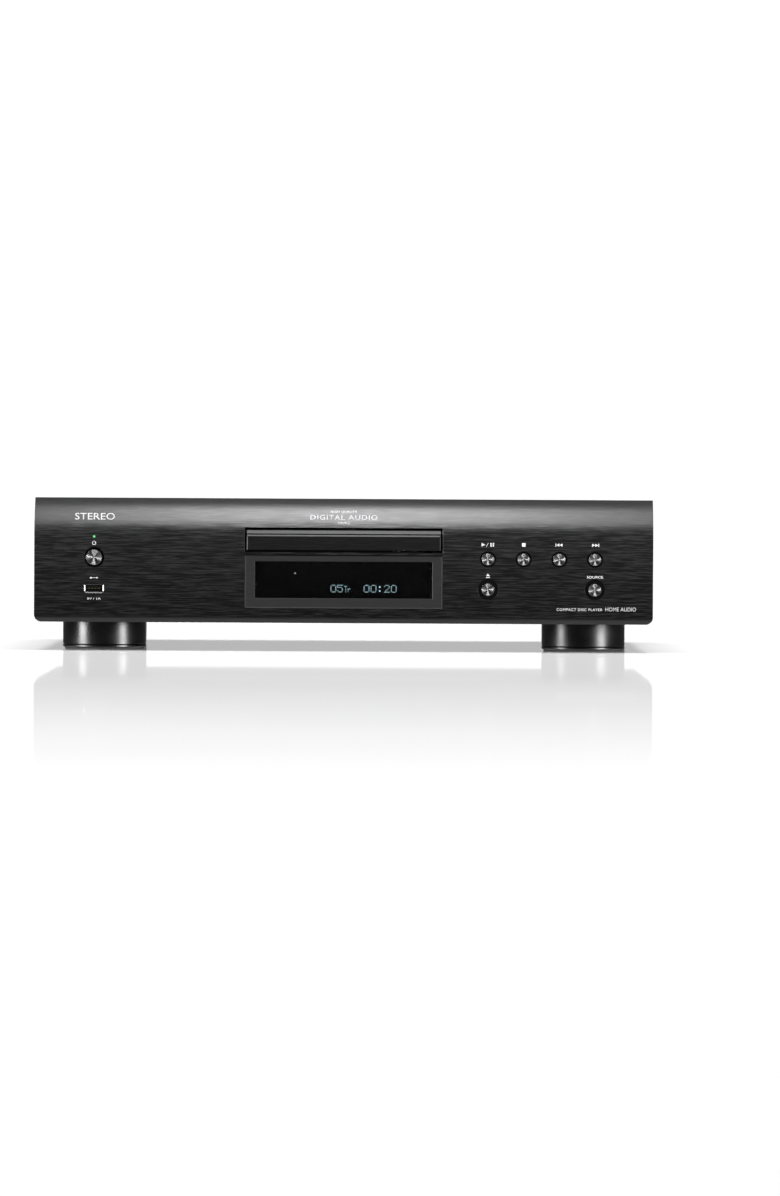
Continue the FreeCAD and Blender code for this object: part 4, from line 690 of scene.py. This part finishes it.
def floor():
    """A pale table with a faint mirror image, which shows at a low angle only and fades out to the front."""
    half_size = 60.0
    most_mirror = 0.33
    mirror_ends, mirror_full = -2.2, -0.75   # along Y, where the mirror image has gone and where it is whole
    shader = Shader("floor_white")
    cloud = shader.noise(0.002)
    shader.set(Base_Color=shader.colours(cloud, (NOISE[0], grey(0.73)), (NOISE[1], grey(0.75))), Roughness=0.9,
               Specular_IOR_Level=0.0, Emission_Color=grey(1.0), Emission_Strength=0.11)
    gloss = shader.node("BsdfGlossy", {"Roughness": 0.03, "Color": grey(1.0)})
    edge_on = shader.node("LayerWeight", {"Blend": 0.5}).outputs["Facing"]
    along = shader.node("SeparateXYZ", {"Vector": shader.node("TexCoord").outputs["Object"]}).outputs["Y"]
    mirror = shader.math("MULTIPLY", shader.spread(edge_on, 0.0, most_mirror, 0.6, 0.97),
                         shader.spread(along, 0.0, 1.0, mirror_ends, mirror_full))
    blend = shader.node("MixShader", {0: mirror, 1: shader.bsdf.outputs["BSDF"], 2: gloss.outputs["BSDF"]})
    output = next(n for n in shader.tree.nodes if n.type == "OUTPUT_MATERIAL")
    shader.feed(output.inputs["Surface"], blend.outputs["Shader"])
    mesh = bpy.data.meshes.new("floor")
    corners = [(x * half_size, y * half_size, 0) for x, y in ((-1, -1), (1, -1), (1, 1), (-1, 1))]
    mesh.from_pydata(corners, [], [(0, 1, 2, 3)])
    mesh.materials.append(shader.material)
    plane = bpy.data.objects.new("floor", mesh)
    bpy.context.scene.collection.objects.link(plane)
    plane.visible_glossy = False


def softbox(name, place, target, size, power):
    """A lamp that is there for its reflection alone, so that it leaves the table evenly white."""
    data = bpy.data.lights.new(name, "AREA")
    data.shape = "RECTANGLE"
    data.size, data.size_y = size
    data.energy = power
    holder = bpy.data.objects.new(name, data)
    bpy.context.scene.collection.objects.link(holder)
    aim = Vector(target) - Vector(place)
    holder.matrix_world = Matrix.Translation(place) @ aim.to_track_quat("-Z", "Y").to_matrix().to_4x4()
    holder.visible_diffuse = False


def studio_sky():
    """White for the camera. Reflections see it dim all round, white behind the player, pale above and below."""
    world = bpy.data.worlds.new("studio")
    world.use_nodes = True
    sky = Nodes(world.node_tree)
    sky.tree.nodes.clear()
    # The parts of the direction looked in, each from -1 to 1.
    way = sky.node("SeparateXYZ", {"Vector": sky.node("TexCoord").outputs["Generated"]}).outputs
    behind = sky.spread(way["Y"], 0.0, SKY_BEHIND, 0.96, 0.985)
    level = sky.spread(sky.math("ABSOLUTE", way["Z"]), 1.0, 0.0, 0.15, 0.25)
    strength = sky.math("MULTIPLY", behind, level)
    for start, end, most in ((-0.34, -0.62, SKY_BELOW), (0.80, 0.97, SKY_ABOVE)):
        strength = sky.math("ADD", strength, sky.spread(way["Z"], 0.0, most, start, end))
    strength = sky.math("ADD", strength, SKY_DIM)
    unseen, seen = (sky.node("Background", {"Color": grey(1.0), "Strength": value}).outputs["Background"]
                    for value in (strength, SKY_SEEN))
    eye = sky.node("LightPath").outputs["Is Camera Ray"]
    both = sky.node("MixShader", {0: eye, 1: unseen, 2: seen}).outputs["Shader"]
    sky.node("OutputWorld", {"Surface": both})
    bpy.context.scene.world = world


def light():
    """One soft box over the front, a wide strip far out to each side, and an even light from above."""
    studio_sky()
    softbox("top_softbox", place=(0.0, -0.93, 1.12), target=(0.0, -0.155, 0.093), size=(0.30, 0.98), power=13.8)
    for name, degrees, away, wide, power in (("strip_left", -62.7, 1.6, 0.50, 77.0),
                                             ("strip_right", 52.0, 3.0, 1.0, 215.0)):
        turn = math.radians(degrees)
        place = (away * math.sin(turn), -0.1 - away * math.cos(turn), 0.30)
        softbox(name, place, target=(0.0, -0.1, 0.02), size=(wide, 0.8), power=power)
    data = bpy.data.lights.new("even_light", "SUN")
    data.energy = 3.1
    data.angle = math.radians(48)
    holder = bpy.data.objects.new("even_light", data)
    bpy.context.scene.collection.objects.link(holder)
    holder.visible_glossy = False
    bpy.context.scene.view_settings.view_transform = "Standard"


finish_frame()
marks()
display_digits()
button_gap_shade()
surround_gap_shade()
socket_contacts()
front_words()
rear_words()
camera()
floor()
light()
